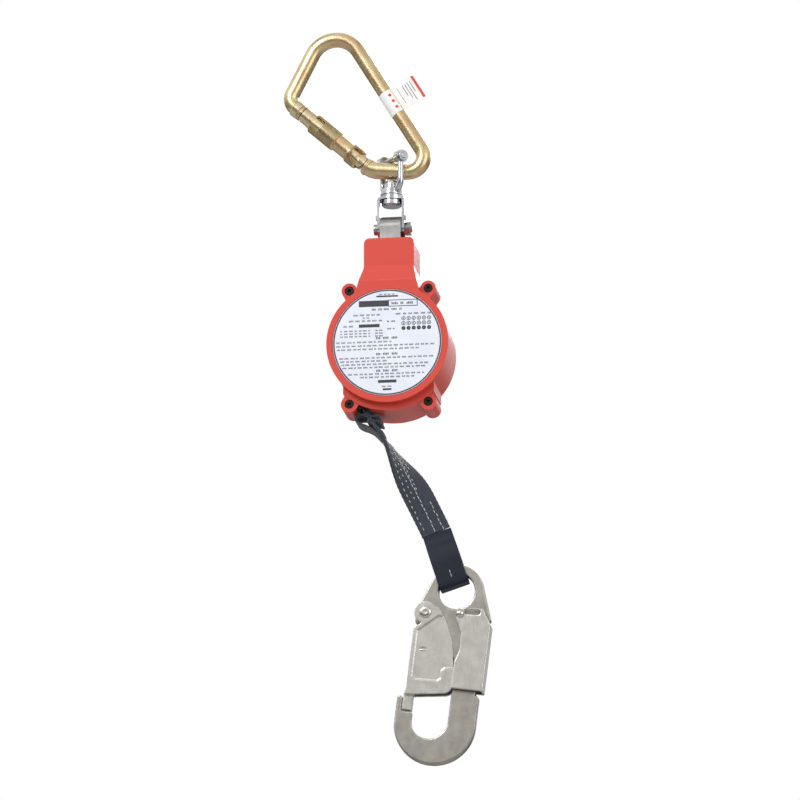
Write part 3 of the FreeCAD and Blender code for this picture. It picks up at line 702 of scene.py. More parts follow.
@dataclass(frozen=True)
class Plated(Finish):
    """Bright or satin plated steel: colour clouds, fine pores and faint wiping marks."""

    colour: str = "#cfd1d4"
    deep: str = "#9c9ea1"
    roughness: float = 0.16
    pores: float = 0.3
    brush: Place = (1.0, 1.0, 1.0)

    def paint(self, bench: Bench) -> None:
        """Build the plated look."""
        place = bench.place()
        clouds = bench.spread(bench.noise(place, 9.0, 4.0, 0.6), 0.35, 0.7)
        wiped = bench.noise(place, 0.9, 4.0, 0.7, self.brush)
        colour = bench.tint(bench.math("MULTIPLY", clouds, 0.7), self.colour, self.deep)
        rough = bench.varied(wiped, self.roughness, 0.05, 0.1)
        grain = bench.relief(bench.noise(place, 0.6, 4.0, 0.7, self.brush), 0.02, self.pores)
        bench.set(Base_Color=colour, Metallic=1.0, Roughness=rough, Normal=grain)


@dataclass(frozen=True)
class Moulded(Finish):
    """Moulded nylon: even colour, fine spark-eroded grain, softly varied gloss and rubbed high spots."""

    colour: str = "#ae2711"
    worn: str = "#b93c24"
    deep: str = "#931f10"
    roughness: float = 0.4
    grain: float = 0.35

    def paint(self, bench: Bench) -> None:
        """Build the moulded look."""
        place = bench.place()
        clouds = bench.spread(bench.noise(place, 22.0, 3.0), 0.3, 0.7)
        colour = bench.tint(bench.math("MULTIPLY", clouds, 0.35), self.colour, self.deep)
        rub = bench.spread(bench.noise(place, 3.0, 6.0, 0.75), 0.62, 0.8, 0.0, 0.35)
        colour = bench.blend(rub, colour, linear(self.worn))
        rough = bench.varied(bench.noise(place, 1.6, 4.0, 0.7), self.roughness, 0.05, 0.08)
        wavy = bench.relief(bench.noise(place, 14.0, 1.0), 0.25, 0.25)
        grain = bench.relief(bench.noise(place, 0.45, 3.0, 0.6), 0.03, self.grain, wavy)
        bench.set(Base_Color=colour, Roughness=rough, Normal=grain, Specular_IOR_Level=0.18)


@dataclass(frozen=True)
class PrintedFilm(Finish):
    """Satin printed film: faint clouding in the white, tiny print pores and a slight curl in the gloss."""

    colour: str = "#e2e6f0"
    shade: str = "#d3d8e6"
    roughness: float = 0.32

    def paint(self, bench: Bench) -> None:
        """Build the film look."""
        place = bench.place()
        clouds = bench.spread(bench.noise(place, 18.0, 3.0), 0.3, 0.7)
        colour = bench.tint(bench.math("MULTIPLY", clouds, 0.5), self.colour, self.shade)
        rough = bench.varied(bench.noise(place, 2.0, 3.0), self.roughness, 0.05, 0.07)
        curl = bench.relief(bench.noise(place, 5.0, 2.0), 0.05, 0.3)
        bench.set(Base_Color=colour, Roughness=rough, Normal=curl)


@dataclass(frozen=True)
class Ink(Finish):
    """Screen ink on film: nearly flat colour, thinner in places, with a dull face."""

    colour: str = "#2b2c31"
    thin: str = "#4a4b52"

    def paint(self, bench: Bench) -> None:
        """Build the ink look."""
        place = bench.place()
        patchy = bench.spread(bench.noise(place, 1.2, 3.0), 0.45, 0.75, 0.0, 0.5)
        bench.set(Base_Color=bench.tint(patchy, self.colour, self.thin), Roughness=0.48,
                  Normal=bench.relief(bench.noise(place, 0.4, 2.0), 0.01, 0.3))


@dataclass(frozen=True)
class Woven(Finish):
    """Polyester webbing in its own flat layout: slanted ribs, painted shade in the gaps, dull sheen, scuffed
    crowns.
    """

    colour: str = "#2d3644"
    # colour of the painted shade in the gaps of the weave
    gap: str = "#12161f"
    crown: str = "#5b6676"
    rib: float = 1.15
    yarn: float = 0.8
    depth: float = 0.28

    def paint(self, bench: Bench) -> None:
        """Build the weave."""
        place = bench.place()
        across, along = bench.split(Layer.LAYOUT)
        zig = bench.math("PINGPONG", across, self.yarn * 2 * MM)
        slant = bench.math("ADD", along, bench.math("MULTIPLY", zig, 0.75))
        ribs = bench.waves(slant, self.rib)
        yarns = bench.waves(across, self.yarn)
        height = bench.math("ADD", bench.math("MULTIPLY", ribs, 1.3), bench.math("MULTIPLY", yarns, 0.7))
        fuzz = bench.noise(place, 0.25, 3.0, 0.7)
        # painted shade: darker towards the low places of the weave
        weave_shade = bench.spread(height, 0.15, 0.75)
        colour = bench.tint(weave_shade, self.gap, self.colour)
        scuff = bench.spread(bench.noise(place, 4.5, 5.0, 0.7), 0.5, 0.8, 0.0, 0.8)
        crowns = bench.math("MULTIPLY", scuff, bench.spread(height, 0.5, 0.95))
        colour = bench.blend(crowns, colour, linear(self.crown))
        colour = bench.blend(bench.spread(fuzz, 0.55, 0.9, 0.0, 0.35), colour, linear(self.crown))
        hairy = bench.math("ADD", height, bench.math("MULTIPLY", fuzz, 0.35))
        bench.set(Base_Color=colour, Roughness=0.72, Normal=bench.relief(hairy, self.depth, 0.9),
                  Sheen_Weight=0.25, Sheen_Roughness=0.5)


@dataclass(frozen=True)
class CoatedCloth(Finish):
    """Coated wear cloth: dark navy, tight plain weave under a soft film, with creases and scuffs."""

    colour: str = "#19212f"
    deep: str = "#0f141f"
    scuffed: str = "#4d586d"
    thread: float = 0.45
    crease: float = 0.5

    def paint(self, bench: Bench) -> None:
        """Build the coated look."""
        place = bench.place()
        weave = bench.math("ADD", *(bench.waves(side, self.thread) for side in bench.split(Layer.LAYOUT)))
        clouds = bench.spread(bench.noise(place, 7.0, 4.0, 0.65), 0.3, 0.7)
        colour = bench.tint(clouds, self.deep, self.colour)
        scuff = bench.spread(bench.noise(place, 2.5, 6.0, 0.75), 0.62, 0.8, 0.0, 0.3)
        colour = bench.blend(scuff, colour, linear(self.scuffed))
        folds = bench.relief(bench.noise(place, 9.0, 2.0, 0.5, (2.0, 1.0, 1.0)), 0.7, self.crease)
        rough = bench.spread(clouds, 0.0, 1.0, 0.5, 0.62)
        bench.set(Base_Color=colour, Roughness=rough, Normal=bench.relief(weave, 0.05, 0.6, folds),
                  Specular_IOR_Level=0.25)


@dataclass(frozen=True)
class Thread(Finish):
    """Twisted polyester thread: pale, soft, with the slanted lay of its plies."""

    colour: str = "#dcdedf"
    shade: str = "#9aa0a8"

    def paint(self, bench: Bench) -> None:
        """Build the thread look."""
        place = bench.place()
        lay = bench.noise(place, 0.3, 2.0, 0.6)
        colour = bench.tint(bench.spread(lay, 0.35, 0.7), self.shade, self.colour)
        bench.set(Base_Color=colour, Roughness=0.8, Normal=bench.relief(lay, 0.08, 0.7), Sheen_Weight=0.2)


@dataclass(frozen=True)
class Wound(Finish):
    """Webbing wound on the drum: painted shade between the turns, as dark rings about the drum's axis."""

    centre: Place = (0.0466, 0.0, -0.2653)
    turn: float = 1.5
    # colour of the painted shade between the turns
    gap: str = "#12161f"
    colour: str = "#2d3644"

    def paint(self, bench: Bench) -> None:
        """Build the rings."""
        place = bench.place()
        off = bench.add("VectorMath", {0: place, 1: self.centre}, operation="SUBTRACT")
        flat = bench.add("VectorMath", {0: off.outputs[0], 1: (1.0, 0.0, 1.0)}, operation="MULTIPLY")
        radius = bench.add("VectorMath", {0: flat.outputs[0]}, operation="LENGTH").outputs["Value"]
        rings = bench.waves(radius, self.turn)
        fuzz = bench.noise(place, 0.5, 3.0, 0.7)
        height = bench.math("ADD", rings, bench.math("MULTIPLY", fuzz, 0.3))
        # painted shade: darker towards the gaps between the turns
        colour = bench.tint(bench.spread(height, 0.1, 0.6), self.gap, self.colour)
        bench.set(Base_Color=colour, Roughness=0.8, Normal=bench.relief(height, 0.3, 0.8))


@dataclass(frozen=True)
class Lining(Finish):
    """Pressed friction lining: dull brown with pale and dark fibres."""

    dark: str = "#3a2c24"
    pale: str = "#7c6a58"

    def paint(self, bench: Bench) -> None:
        """Build the fibre look."""
        place = bench.place()
        fibre = bench.spread(bench.noise(place, 0.8, 5.0, 0.8), 0.35, 0.7)
        bench.set(Base_Color=bench.tint(fibre, self.dark, self.pale), Roughness=0.85,
                  Normal=bench.relief(fibre, 0.1, 0.6))


class Shop:
    """Every finish of the lifeline, named for its part."""

    zinc = YellowZinc("yellow_chromate_on_steel", "yellow_zinc")
    machined = YellowZinc("chromate_on_machined_steel", "yellow_zinc", gold="#dccfa8", rose="#d8c3a2",
                          green="#c3bd94", roughness=0.24, scratch=0.4)
    knurl = Knurled("chromate_on_knurl", "yellow_zinc", roughness=0.28)
    bright = Plated("bright_zinc_plate", "bright_plate")
    # darker copy of the bright zinc plate: painted shade on the cross bolt and nut
    shaded_bright = Plated("bright_plate_painted_shade", "bright_plate", colour="#b9bbbd", deep="#76787a",
                         roughness=0.2)
    strap = Plated("satin_stainless_strap", "stainless_strap", colour="#9c9a99", deep="#7b7978",
                   roughness=0.34, pores=0.5, brush=(1.0, 1.0, 14.0))
    steel = Plated("machined_steel", "steel", colour="#b9bbbd", deep="#929497", roughness=0.26)
    nickel = Plated("satin_nickel_hook", "nickel_steel", colour="#aeaaa2", deep="#918d86",
                    roughness=0.34, pores=0.6, brush=(1.0, 1.0, 5.0))
    nickel_plate = Plated("satin_nickel_plates", "nickel_steel", colour="#cfccc5", deep="#b3b0a9",
                          roughness=0.3, pores=0.45, brush=(1.0, 1.0, 9.0))
    bright_nickel = Plated("bright_nickel_heads", "nickel_steel", colour="#d6d4cf", deep="#b5b2ac",
                           roughness=0.2)
    alloy = Plated("cast_drum_alloy", "drum_alloy", colour="#c9cbce", deep="#adb0b3",
                   roughness=0.42, pores=0.9)
    brass = Plated("turned_brass", "brass", colour="#c9a65c", deep="#a98944", roughness=0.28)
    black_steel = Plated("black_oxide_steel", "black_steel", colour="#34322f", deep="#1d1c1b",
                         roughness=0.38)
    red = Moulded("red_nylon", "red_nylon")
    black = Moulded("black_nylon", "black_plastic", colour="#1d1d1f", worn="#3a3a3d", deep="#101011")
    label = PrintedFilm("label_film", "printed_label")
    tag = PrintedFilm("tag_film", "printed_label", colour="#efeeec", shade="#e0dedb", roughness=0.28)
    # the black ink also draws the ring of painted shade at the label's rim
    ink = Ink("black_ink_and_rim_shade", "printed_label")
    grey_ink = Ink("grey_ink", "printed_label", colour="#7b7c84", thin="#9fa0a8")
    red_ink = Ink("red_ink", "printed_label", colour="#cf352b", thin="#dd5a4e")
    web = Woven("polyester_webbing", "webbing")
    cloth = CoatedCloth("coated_wear_cloth", "wear_cloth")
    thread = Thread("white_bonded_thread", "webbing")
    cream = Thread("cream_bonded_thread", "webbing", colour="#cdbd92", shade="#94855f")
    wound = Wound("wound_webbing", "webbing")
    lining = Lining("friction_lining", "friction_lining")


# ------------------------------------------------------------------ lifeline

@dataclass
class Line:
    """Smooth line through space with its running length."""

    points: list[Vector]

    def __post_init__(self) -> None:
        """Work out the running length at each point."""
        self.runs = [0.0]
        for before, after in zip(self.points, self.points[1:]):
            self.runs.append(self.runs[-1] + (after - before).length)

    @classmethod
    def nurbs(cls, name: str, route: Sequence[Vector], steps: int = 12) -> "Line":
        """Read a smooth line from its control points.

        Args:
            name: name of the helper curve.
            route: control points in metres.
            steps: stretches for each control point.

        Returns:
            The line.
        """
        curve = bpy.data.curves.new(name, "CURVE")
        curve.dimensions = "3D"
        curve.resolution_u = steps
        spline = curve.splines.new("NURBS")
        spline.points.add(len(route) - 1)
        for place, point in zip(spline.points, route):
            place.co = (*point, 1.0)
        spline.order_u = 3
        spline.use_endpoint_u = True
        helper = bpy.data.objects.new(name, curve)
        bpy.context.scene.collection.objects.link(helper)
        bpy.context.view_layer.update()
        mesh = bpy.data.meshes.new_from_object(helper)
        points = [vertex.co.copy() for vertex in mesh.vertices]
        bpy.data.objects.remove(helper, do_unlink=True)
        bpy.data.meshes.remove(mesh)
        return cls(points)

    @property
    def length(self) -> float:
        """Whole length in metres."""
        return self.runs[-1]

    def at(self, run: float) -> tuple[Vector, Vector]:
        """Give the place and heading at a running length in metres."""
        run = min(max(run, 0.0), self.length)
        index = next((i for i, r in enumerate(self.runs[1:]) if r >= run), len(self.points) - 2)
        start, end = self.points[index], self.points[index + 1]
        share = (run - self.runs[index]) / max(self.runs[index + 1] - self.runs[index], 1e-9)
        before = self.points[max(index - 1, 0)]
        after = self.points[min(index + 2, len(self.points) - 1)]
        return start.lerp(end, share), (after - before).normalized()


@dataclass
class Ribbon:
    """Flat woven strip swept along a line: its sizes in millimetres."""

    width: float
    thickness: float
    step: float = 1.2
    crown: float = 0.12
    scallop: float = 0.0
    scallop_pitch: float = 4.4

    def outline(self, run: float) -> list[Spot]:
        """Cross-section at a running length, as (across, out) pairs in millimetres."""
        wave = math.cos(math.tau * run / (self.scallop_pitch * MM))
        half = self.width / 2 - self.scallop * (0.5 + 0.5 * wave)
        deep = self.thickness / 2
        side = [(half, 0.0), (half - 0.18 * deep, 0.62 * deep), (half - 0.75 * deep, 0.96 * deep)]
        inner = [half * share for share in (0.84, 0.62, 0.4, 0.2, 0.0)]
        top = side + [(u, deep + self.crown * (1 - (u / half) ** 2)) for u in inner]
        upper = top + [(-u, w) for u, w in reversed(top[:-1])]
        lower = [(-u, -w) for u, w in upper[1:-1]]
        return upper + lower

    def along(self, name: str, line: Line, across: Callable[[float, Vector], Vector],
              lift: float = 0.0, start: float = 0.0, end: Optional[float] = None) -> Mesh:
        """Sweep the strip.

        Args:
            name: object name.
            line: line that it follows.
            across: gives the way of the strip's width for a running length and a heading.
            lift: how far the strip stands off the line, in millimetres.
            start: first running length in metres.
            end: last running length; the line's own end if not given.

        Returns:
            The strip, laid out flat in metres in its layer "layout".
        """
        end = line.length if end is None else end
        count = max(int((end - start) / (self.step * MM)), 2)
        points, layout = [], []
        for index in range(count + 1):
            run = start + (end - start) * index / count
            place, heading = line.at(run)
            side = across(run, heading)
            side = (side - heading * side.dot(heading)).normalized()
            out = side.cross(heading).normalized()
            for u, w in self.outline(run):
                points.append(place + side * u * MM + out * (w + lift) * MM)
                layout.append((u * MM, run))
        ring = len(self.outline(0.0))
        faces = [[low + j, low + (j + 1) % ring, low + ring + (j + 1) % ring, low + ring + j]
                 for low in range(0, count * ring, ring) for j in range(ring)]
        faces += [list(range(ring)), [count * ring + j for j in range(ring)]]
        obj = from_data(name, points, [], faces)
        sheet = obj.data.uv_layers.new(name="layout")
        for loop in obj.data.loops:
            sheet.data[loop.index].uv = layout[loop.vertex_index]
        return recalculated(obj)


@dataclass
class Stitch:
    """One kind of lockstitch: its sizes in millimetres."""

    length: float = 2.6
    gap: float = 1.5
    thick: float = 0.34

    def dash(self, middle: Vector, along: Vector, out: Vector) -> tuple[list[Vector], list[list[int]]]:
        """Build one stitch that dips into the cloth at both ends.

        Args:
            middle: centre of the stitch on the cloth.
            along: way that it runs.
            out: way off the cloth.

        Returns:
            Its points and faces.
        """
        side = along.cross(out).normalized()
        rings = [(-0.5, -0.6, 0.5), (-0.36, 0.5, 0.9), (0.0, 0.8, 1.0), (0.36, 0.5, 0.9), (0.5, -0.6, 0.5)]
        points, faces = [], []
        for run, height, share in rings:
            centre = middle + along * run * self.length * MM + out * height * self.thick * MM
            radius = self.thick * share * MM
            for corner in range(6):
                angle = math.tau * corner / 6
                points.append(centre + side * math.cos(angle) * radius + out * math.sin(angle) * radius)
        for ring in range(len(rings) - 1):
            for corner in range(6):
                following = (corner + 1) % 6
                base = ring * 6
                faces.append([base + corner, base + following, base + 6 + following, base + 6 + corner])
        faces += [list(range(6)), [24 + corner for corner in range(6)]]
        return points, faces

    def row(self, places: Iterable[tuple[Vector, Vector, Vector]], points: list[Vector],
            faces: list[list[int]]) -> None:
        """Add a stitch at each (middle, along, out) to a growing mesh."""
        for middle, along, out in places:
            more, loops = self.dash(middle, along, out)
            faces.extend([[len(points) + i for i in loop] for loop in loops])
            points.extend(more)


@dataclass
class SeamRow:
    """One row of stitches on the web: where it lies across and along, in millimetres."""

    across: float
    start: float
    end: float
    length: float
    gap: float
    wander: float = 0.0
    finish: Finish = Shop.thread


@dataclass
class Lifeline:
    """Web end: stop fold, twisted double web, sewn loop, wear sleeve and stitching."""

    exit: Spot = (23.6, -316.3)
    exit_tilt: float = 28.0
    route: tuple[Spot, ...] = ((34.0, -332.0), (42.5, -344.5), (50.5, -358.6), (59.5, -374.3),
                                              (68.6, -390.5), (77.0, -408.0))
    fold: Spot = (99.3, -469.0)
    loop_tilt: float = 18.0
    loop_top: float = 47.5
    web: Ribbon = field(default_factory=lambda: Ribbon(25.0, 1.5, scallop=0.28))
    layer: float = 0.82
    twist_start: float = 24.0
    twist_end: float = 104.0
    seams: tuple[SeamRow, ...] = (
        SeamRow(-8.6, 34.0, 124.0, 2.7, 2.6, 0.3), SeamRow(-4.4, 44.0, 96.0, 1.9, 3.4, 0.5),
        SeamRow(-0.4, 36.0, 124.0, 3.3, 0.6, 0.3), SeamRow(1.4, 50.0, 84.0, 2.4, 1.8, 0.5),
        SeamRow(6.6, 96.0, 124.0, 3.0, 0.9, 0.5), SeamRow(4.8, 34.0, 64.0, 2.2, 1.5, 0.6))

    def __post_init__(self) -> None:
        """Find the line that the web follows."""
        tilt = math.radians(self.loop_tilt)
        self.up = Vector((-math.sin(tilt), 0, math.cos(tilt)))
        self.wide = Vector((math.cos(tilt), 0, math.sin(tilt)))
        self.low = mm(self.fold[0], 0, self.fold[1])
        corners = [mm(x, 0, z) for x, z in (self.exit, *self.route)]
        corners += [self.low + self.up * self.loop_top * MM, self.low + self.up * 24 * MM,
                    self.low + self.up * 2 * MM]
        self.line = Line.nurbs("web_line", corners)

    def across(self, run: float, heading: Vector) -> Vector:
        """Give the way of the web's width: front to back at the top, across at the bottom."""
        share = (run / MM - self.twist_start) / (self.twist_end - self.twist_start)
        share = min(max(share, 0.0), 1.0)
        share = share * share * (3 - 2 * share)
        return Matrix.Rotation(math.radians(90 * share), 3, heading) @ Vector((0, 1, 0))

    def loop_line(self, inner: float) -> Line:
        """Give the line of one layer of the sewn loop.

        Args:
            inner: distance of the layer from the loop's middle plane in millimetres.

        Returns:
            The line, from the front round the fold to the back.
        """
        half = [(self.layer, 49.0), (self.layer, 42.0), (inner * 0.75, 34.0), (inner, 24.0), (inner, 10.0),
                (inner, 7.2 - inner), (inner * 0.35, 7.4 - inner)]
        path = [(-y, h) for y, h in half] + [(y, h) for y, h in reversed(half)]
        places = [self.low + self.up * h * MM + Vector((0, y * MM, 0)) for y, h in path]
        return Line.nurbs("loop_line", places, 8)

    def build_web(self) -> Mesh:
        """Returns:
            The web.
        """
        top = self.line.length - self.loop_top * MM
        parts = [self.web.along("strip", self.line, self.across, lift, 4 * MM, top)
                 for lift in (-self.layer, self.layer)]
        loop = Ribbon(23.4, 0.95, 1.2, 0.0)
        parts.append(loop.along("loop", self.loop_line(6.1), lambda run, heading: self.wide))
        return joined("lifeline_webbing", parts)

    def build_sleeve(self) -> Mesh:
        """Build the wear sleeve that lines the loop, creased at its mouth.

        Returns:
            The sleeve.
        """
        cloth = Ribbon(24.6, 1.0, 1.0, 0.1)
        return cloth.along("loop_wear_sleeve", self.loop_line(7.2), lambda run, heading: self.wide)

    def seat(self, run: float, across: float, face: float) -> tuple[Vector, Vector, Vector]:
        """Give a place on the web's face.

        Args:
            run: running length in millimetres.
            across: place across the width in millimetres.
            face: -1 for one face and 1 for the other.

        Returns:
            The place, the way along and the way off the web.
        """
        place, heading = self.line.at(run * MM)
        side = self.across(run * MM, heading)
        side = (side - heading * side.dot(heading)).normalized()
        out = side.cross(heading).normalized() * face
        crown = self.web.crown * (1 - (across / 12.5) ** 2)
        lift = self.layer + self.web.thickness / 2 + crown
        return place + side * across * MM + out * lift * MM, heading, out

    def build_seams(self) -> Mesh:
        """Build the white stitch rows on both faces of the web.

        Returns:
            The rows as one piece.
        """
        points: list[Vector] = []
        faces: list[list[int]] = []
        for row in self.seams:
            stitch = Stitch(row.length, row.gap)
            count = int((row.end - row.start) / (row.length + row.gap))
            for face in Side:
                places = []
                for index in range(count):
                    run = row.start + index * (row.length + row.gap) + row.length / 2
                    drift = row.wander * math.sin(index * 2.4 + row.across)
                    places.append(self.seat(run, row.across + drift, face.value))
                stitch.row(places, points, faces)
        return recalculated(from_data("web_stitching", points, [], faces), 0.0)

    def build_loose_thread(self) -> Mesh:
        """Build the cream thread end that hangs by the twist."""
        start, heading, out = self.seat(33.0, 9.5, -1)
        side = heading.cross(out)
        ways = [(0, 0, 0), (2.0, 0.5, 0.6), (3.6, 1.2, -0.9), (5.2, 0.7, -0.4), (6.6, 0.9, 1.2)]
        places = [start + (heading * a + out * b + side * c) * MM for a, b, c in ways]
        return tube_along("loose_thread", Line.nurbs("thread", places, 6).points, 0.22)

    def build_sleeve_stitch(self) -> Mesh:
        """Build the short tack stitches in the middle of the wear sleeve."""
        points: list[Vector] = []
        faces: list[list[int]] = []
        stitch = Stitch(3.0, 0.4, 0.32)
        for face in Side:
            out = Vector((0, face.value, 0))
            places = [(self.low + self.up * h * MM + self.wide * 0.4 * MM + out * 7.75 * MM, self.up, out)
                      for h in (8.5, 12.0)]
            stitch.row(places, points, faces)
        return recalculated(from_data("sleeve_tack", points, [], faces), 0.0)

    def build_stop(self) -> Mesh:
        """Build the folded stop under the nozzle: a hairpin with an open eye and a free tab.

        Returns:
            The fold.
        """
        hairpin = [(38.0, -324.6), (31.0, -323.8), (24.0, -322.2), (18.4, -322.4), (17.2, -326.6),
                   (21.4, -329.8), (27.0, -331.6), (33.0, -335.4), (39.6, -343.6)]
        tab = [(39.0, -328.6), (33.0, -327.2), (27.0, -326.4), (28.4, -328.6), (34.0, -331.2),
               (40.2, -337.4)]
        strip = Ribbon(25.0, 1.5, 0.8, 0.1)
        parts = []
        for number, run in enumerate((hairpin, tab)):
            line = Line.nurbs(f"stop_{number}", [mm(x, 0, z) for x, z in run], 8)
            parts.append(strip.along(f"stop_{number}", line, lambda place, heading: Vector((0, 1, 0))))
        return joined("web_stop_fold", parts)

    def build_running_web(self) -> Mesh:
        """Build the single web from the drum through the guide to the stop."""
        tilt = math.radians(self.exit_tilt)
        down = Vector((math.sin(tilt), 0, -math.cos(tilt)))
        exit_place = mm(self.exit[0], 0, self.exit[1])
        places = [exit_place - down * 34 * MM, exit_place - down * 10 * MM, exit_place + down * 6.5 * MM]
        line = Line(places)
        web = Ribbon(25.0, 1.5, 1.6, 0.0)
        return web.along("running_web", line, lambda run, heading: Vector((0, 1, 0)))

    def build(self) -> None:
        """Build, dress and place every piece of the lifeline."""
        web = ready(self.build_web(), None, Shop.web, ["lifeline_web"])
        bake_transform(web)
        seams = ready(self.build_seams(), None, Shop.thread)
        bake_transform(seams)
        sleeve = ready(self.build_sleeve(), "web_end", Shop.cloth, ["wear_sleeve"])
        tack = ready(self.build_sleeve_stitch(), "web_end", Shop.thread)
        thread = ready(self.build_loose_thread(), "lifeline", Shop.cream)
        stop = ready(self.build_stop(), "lifeline", Shop.web, ["web_stop"])
        running = ready(self.build_running_web(), None, Shop.web, ["web_feed"])
        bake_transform(running)


# ------------------------------------------------------------------ carabiner and swivel

def dress(node: str, finish: Finish, smooth: bool = True) -> None:
    """Give a frame node that stays in view its finish.

    Args:
        node: frame node.
        finish: its surface.
        smooth: whether its faces are shaded smooth up to the usual angle.
    """
    obj = bpy.data.objects[node]
    obj.data.materials.clear()
    obj.data.materials.append(finish.material())
    if smooth:
        pick(obj)
        bpy.ops.object.shade_smooth_by_angle(angle=SMOOTH_ANGLE)
    LOG.info("%-24s keeps its shape, in %s", node, finish.name)


@dataclass
class Carabiner:
    """Twist-lock carabiner: plated bar frame, knurled sleeve, gate and film tag."""

    nose: Spot = (-28.3, -57.4)
    heel: Spot = (24.8, -104.2)
    top_corner: Spot = (-2.4, 29.3)
    lower_corner: Spot = (84.8, -113.5)
    bar: float = 6.3
    sleeve: Spot = (12.0, 64.0)
    neck: Spot = (39.0, 52.5)
    sleeve_radius: float = 8.8
    neck_radius: float = 7.5
    bore: float = 6.88
    slot_half: float = 5.5
    tag_x: float = 47.0
    tag_length: float = 21.7
    tag_flag: float = 21.0

    def __post_init__(self) -> None:
        """Find the gate's and the spine's directions."""
        self.start = mm(self.nose[0], 0, self.nose[1])
        self.way = (mm(self.heel[0], 0, self.heel[1]) - self.start).normalized()
        spine = mm(self.lower_corner[0] - self.top_corner[0], 0, self.lower_corner[1] - self.top_corner[1])
        self.spine = spine.normalized()
        self.normal = Vector((-self.spine.z, 0, self.spine.x))

    def on_gate(self, along: float) -> Vector:
        """Give the place on the gate's axis, so many millimetres from the nose."""
        return self.start + self.way * along * MM

    def build_sleeve(self) -> Mesh:
        """Build the lock sleeve: two knurled ends, a smooth neck and two windows at the front.

        Returns:
            The sleeve; lay_out_knurl() gives its knurl the flat layout.
        """
        r, n, b = self.sleeve_radius, self.neck_radius, self.bore
        low, high = self.sleeve
        mid, up = self.neck
        profile = [(b, low), (r - 0.9, low), (r - 0.2, low + 0.7), (r - 0.2, low + 1.3), (r, low + 1.5),
                   (r, mid - 1.4), (r - 0.3, mid - 1.1), (r - 0.3, mid - 0.5), (n + 0.2, mid), (n, mid + 0.4),
                   (n, up - 0.4), (n + 0.2, up), (r - 0.3, up + 0.5), (r - 0.3, up + 1.0), (r, up + 1.3),
                   (r, high - 1.5), (r - 0.2, high - 1.3), (r - 0.2, high - 0.7), (r - 0.9, high), (b, high)]
        obj = turned("twist_sleeve", profile, self.start, self.way, 96)
        for span in ((low - 1.0, low + 10.0), (high - 8.5, high + 1.0)):
            middle = self.on_gate((span[0] + span[1]) / 2) - Vector((0, 9.0 * MM, 0))
            pick(obj)
            bpy.ops.mesh.primitive_cube_add(size=1.0, location=middle)
            tool = bpy.context.object
            across = self.way.cross(Vector((0, 1, 0)))
            turn = Matrix((self.way, (0, 1, 0), across)).transposed().to_4x4()
            size = Matrix.Diagonal(((span[1] - span[0]) * MM, 12.0 * MM, self.slot_half * 2 * MM, 1.0))
            tool.matrix_world = Matrix.Translation(middle) @ turn @ size
            settle(tool)
            recalculated(tool)
            cut_away(obj, rounded(tool, 1.6, 4))
        return rounded(obj, 0.25, 2, 40)

    def lay_out_knurl(self, obj: Mesh) -> None:
        """Give the sleeve a flat layout: round it and along it, in metres.

        Args:
            obj: the sleeve.
        """
        layer = obj.data.uv_layers.get("layout") or obj.data.uv_layers.new(name="layout")
        across = self.way.cross(Vector((0, 1, 0)))
        for face in obj.data.polygons:
            centre = face.center - self.start
            base = math.atan2(centre.dot(across), -centre.y)
            for index in face.loop_indices:
                point = obj.data.vertices[obj.data.loops[index].vertex_index].co - self.start
                angle = math.atan2(point.dot(across), -point.y)
                if angle - base > math.pi:
                    angle -= math.tau
                if base - angle > math.pi:
                    angle += math.tau
                layer.data[index].uv = (angle * self.sleeve_radius * MM, point.dot(self.way))
        knurled = Shop.knurl.material()
        obj.data.materials.append(Shop.zinc.material())
        obj.data.materials.append(knurled)
        for face in obj.data.polygons:
            centre = face.center - self.start
            along = centre.dot(self.way) / MM
            radius = (centre - self.way * along * MM).length / MM
            outer = radius > self.sleeve_radius - 0.12
            below = self.sleeve[0] + 1.3 < along < self.neck[0] - 1.0
            above = self.neck[1] + 0.9 < along < self.sleeve[1] - 1.3
            face.material_index = 1 if outer and (below or above) else 0

    def build_frame(self) -> Mesh:
        """Build the bent bar, its machined nose and heel, and the drawn collar under the heel.

        Returns:
            The frame.
        """
        return eased_copy("carabiner_frame", "carabiner_bar", 0.5, 2, 50)

    def build_collars(self) -> list[Mesh]:
        """Build the turned collars at the nose and heel.

        Returns:
            The collars, each one a piece.
        """
        nose = turned("nose_collar", collar(7.15, 6.32, -9.5, -2.6, 0.7), self.start, self.way, 64)
        heel_place = self.on_gate((mm(self.heel[0], 0, self.heel[1]) - self.start).length / MM)
        heel = turned("heel_collar", collar(7.7, 7.02, 0.9, 3.4, 0.4), heel_place, self.way, 64)
        return [nose, heel]

    def tag_frame(self) -> tuple[Vector, Vector, Vector]:
        """Give the tag's middle, its way along the spine and its way off the spine."""
        share = (self.tag_x - self.top_corner[0]) * MM / self.spine.x
        middle = mm(self.top_corner[0], 0, self.top_corner[1]) + self.spine * share
        return middle, self.spine, self.normal

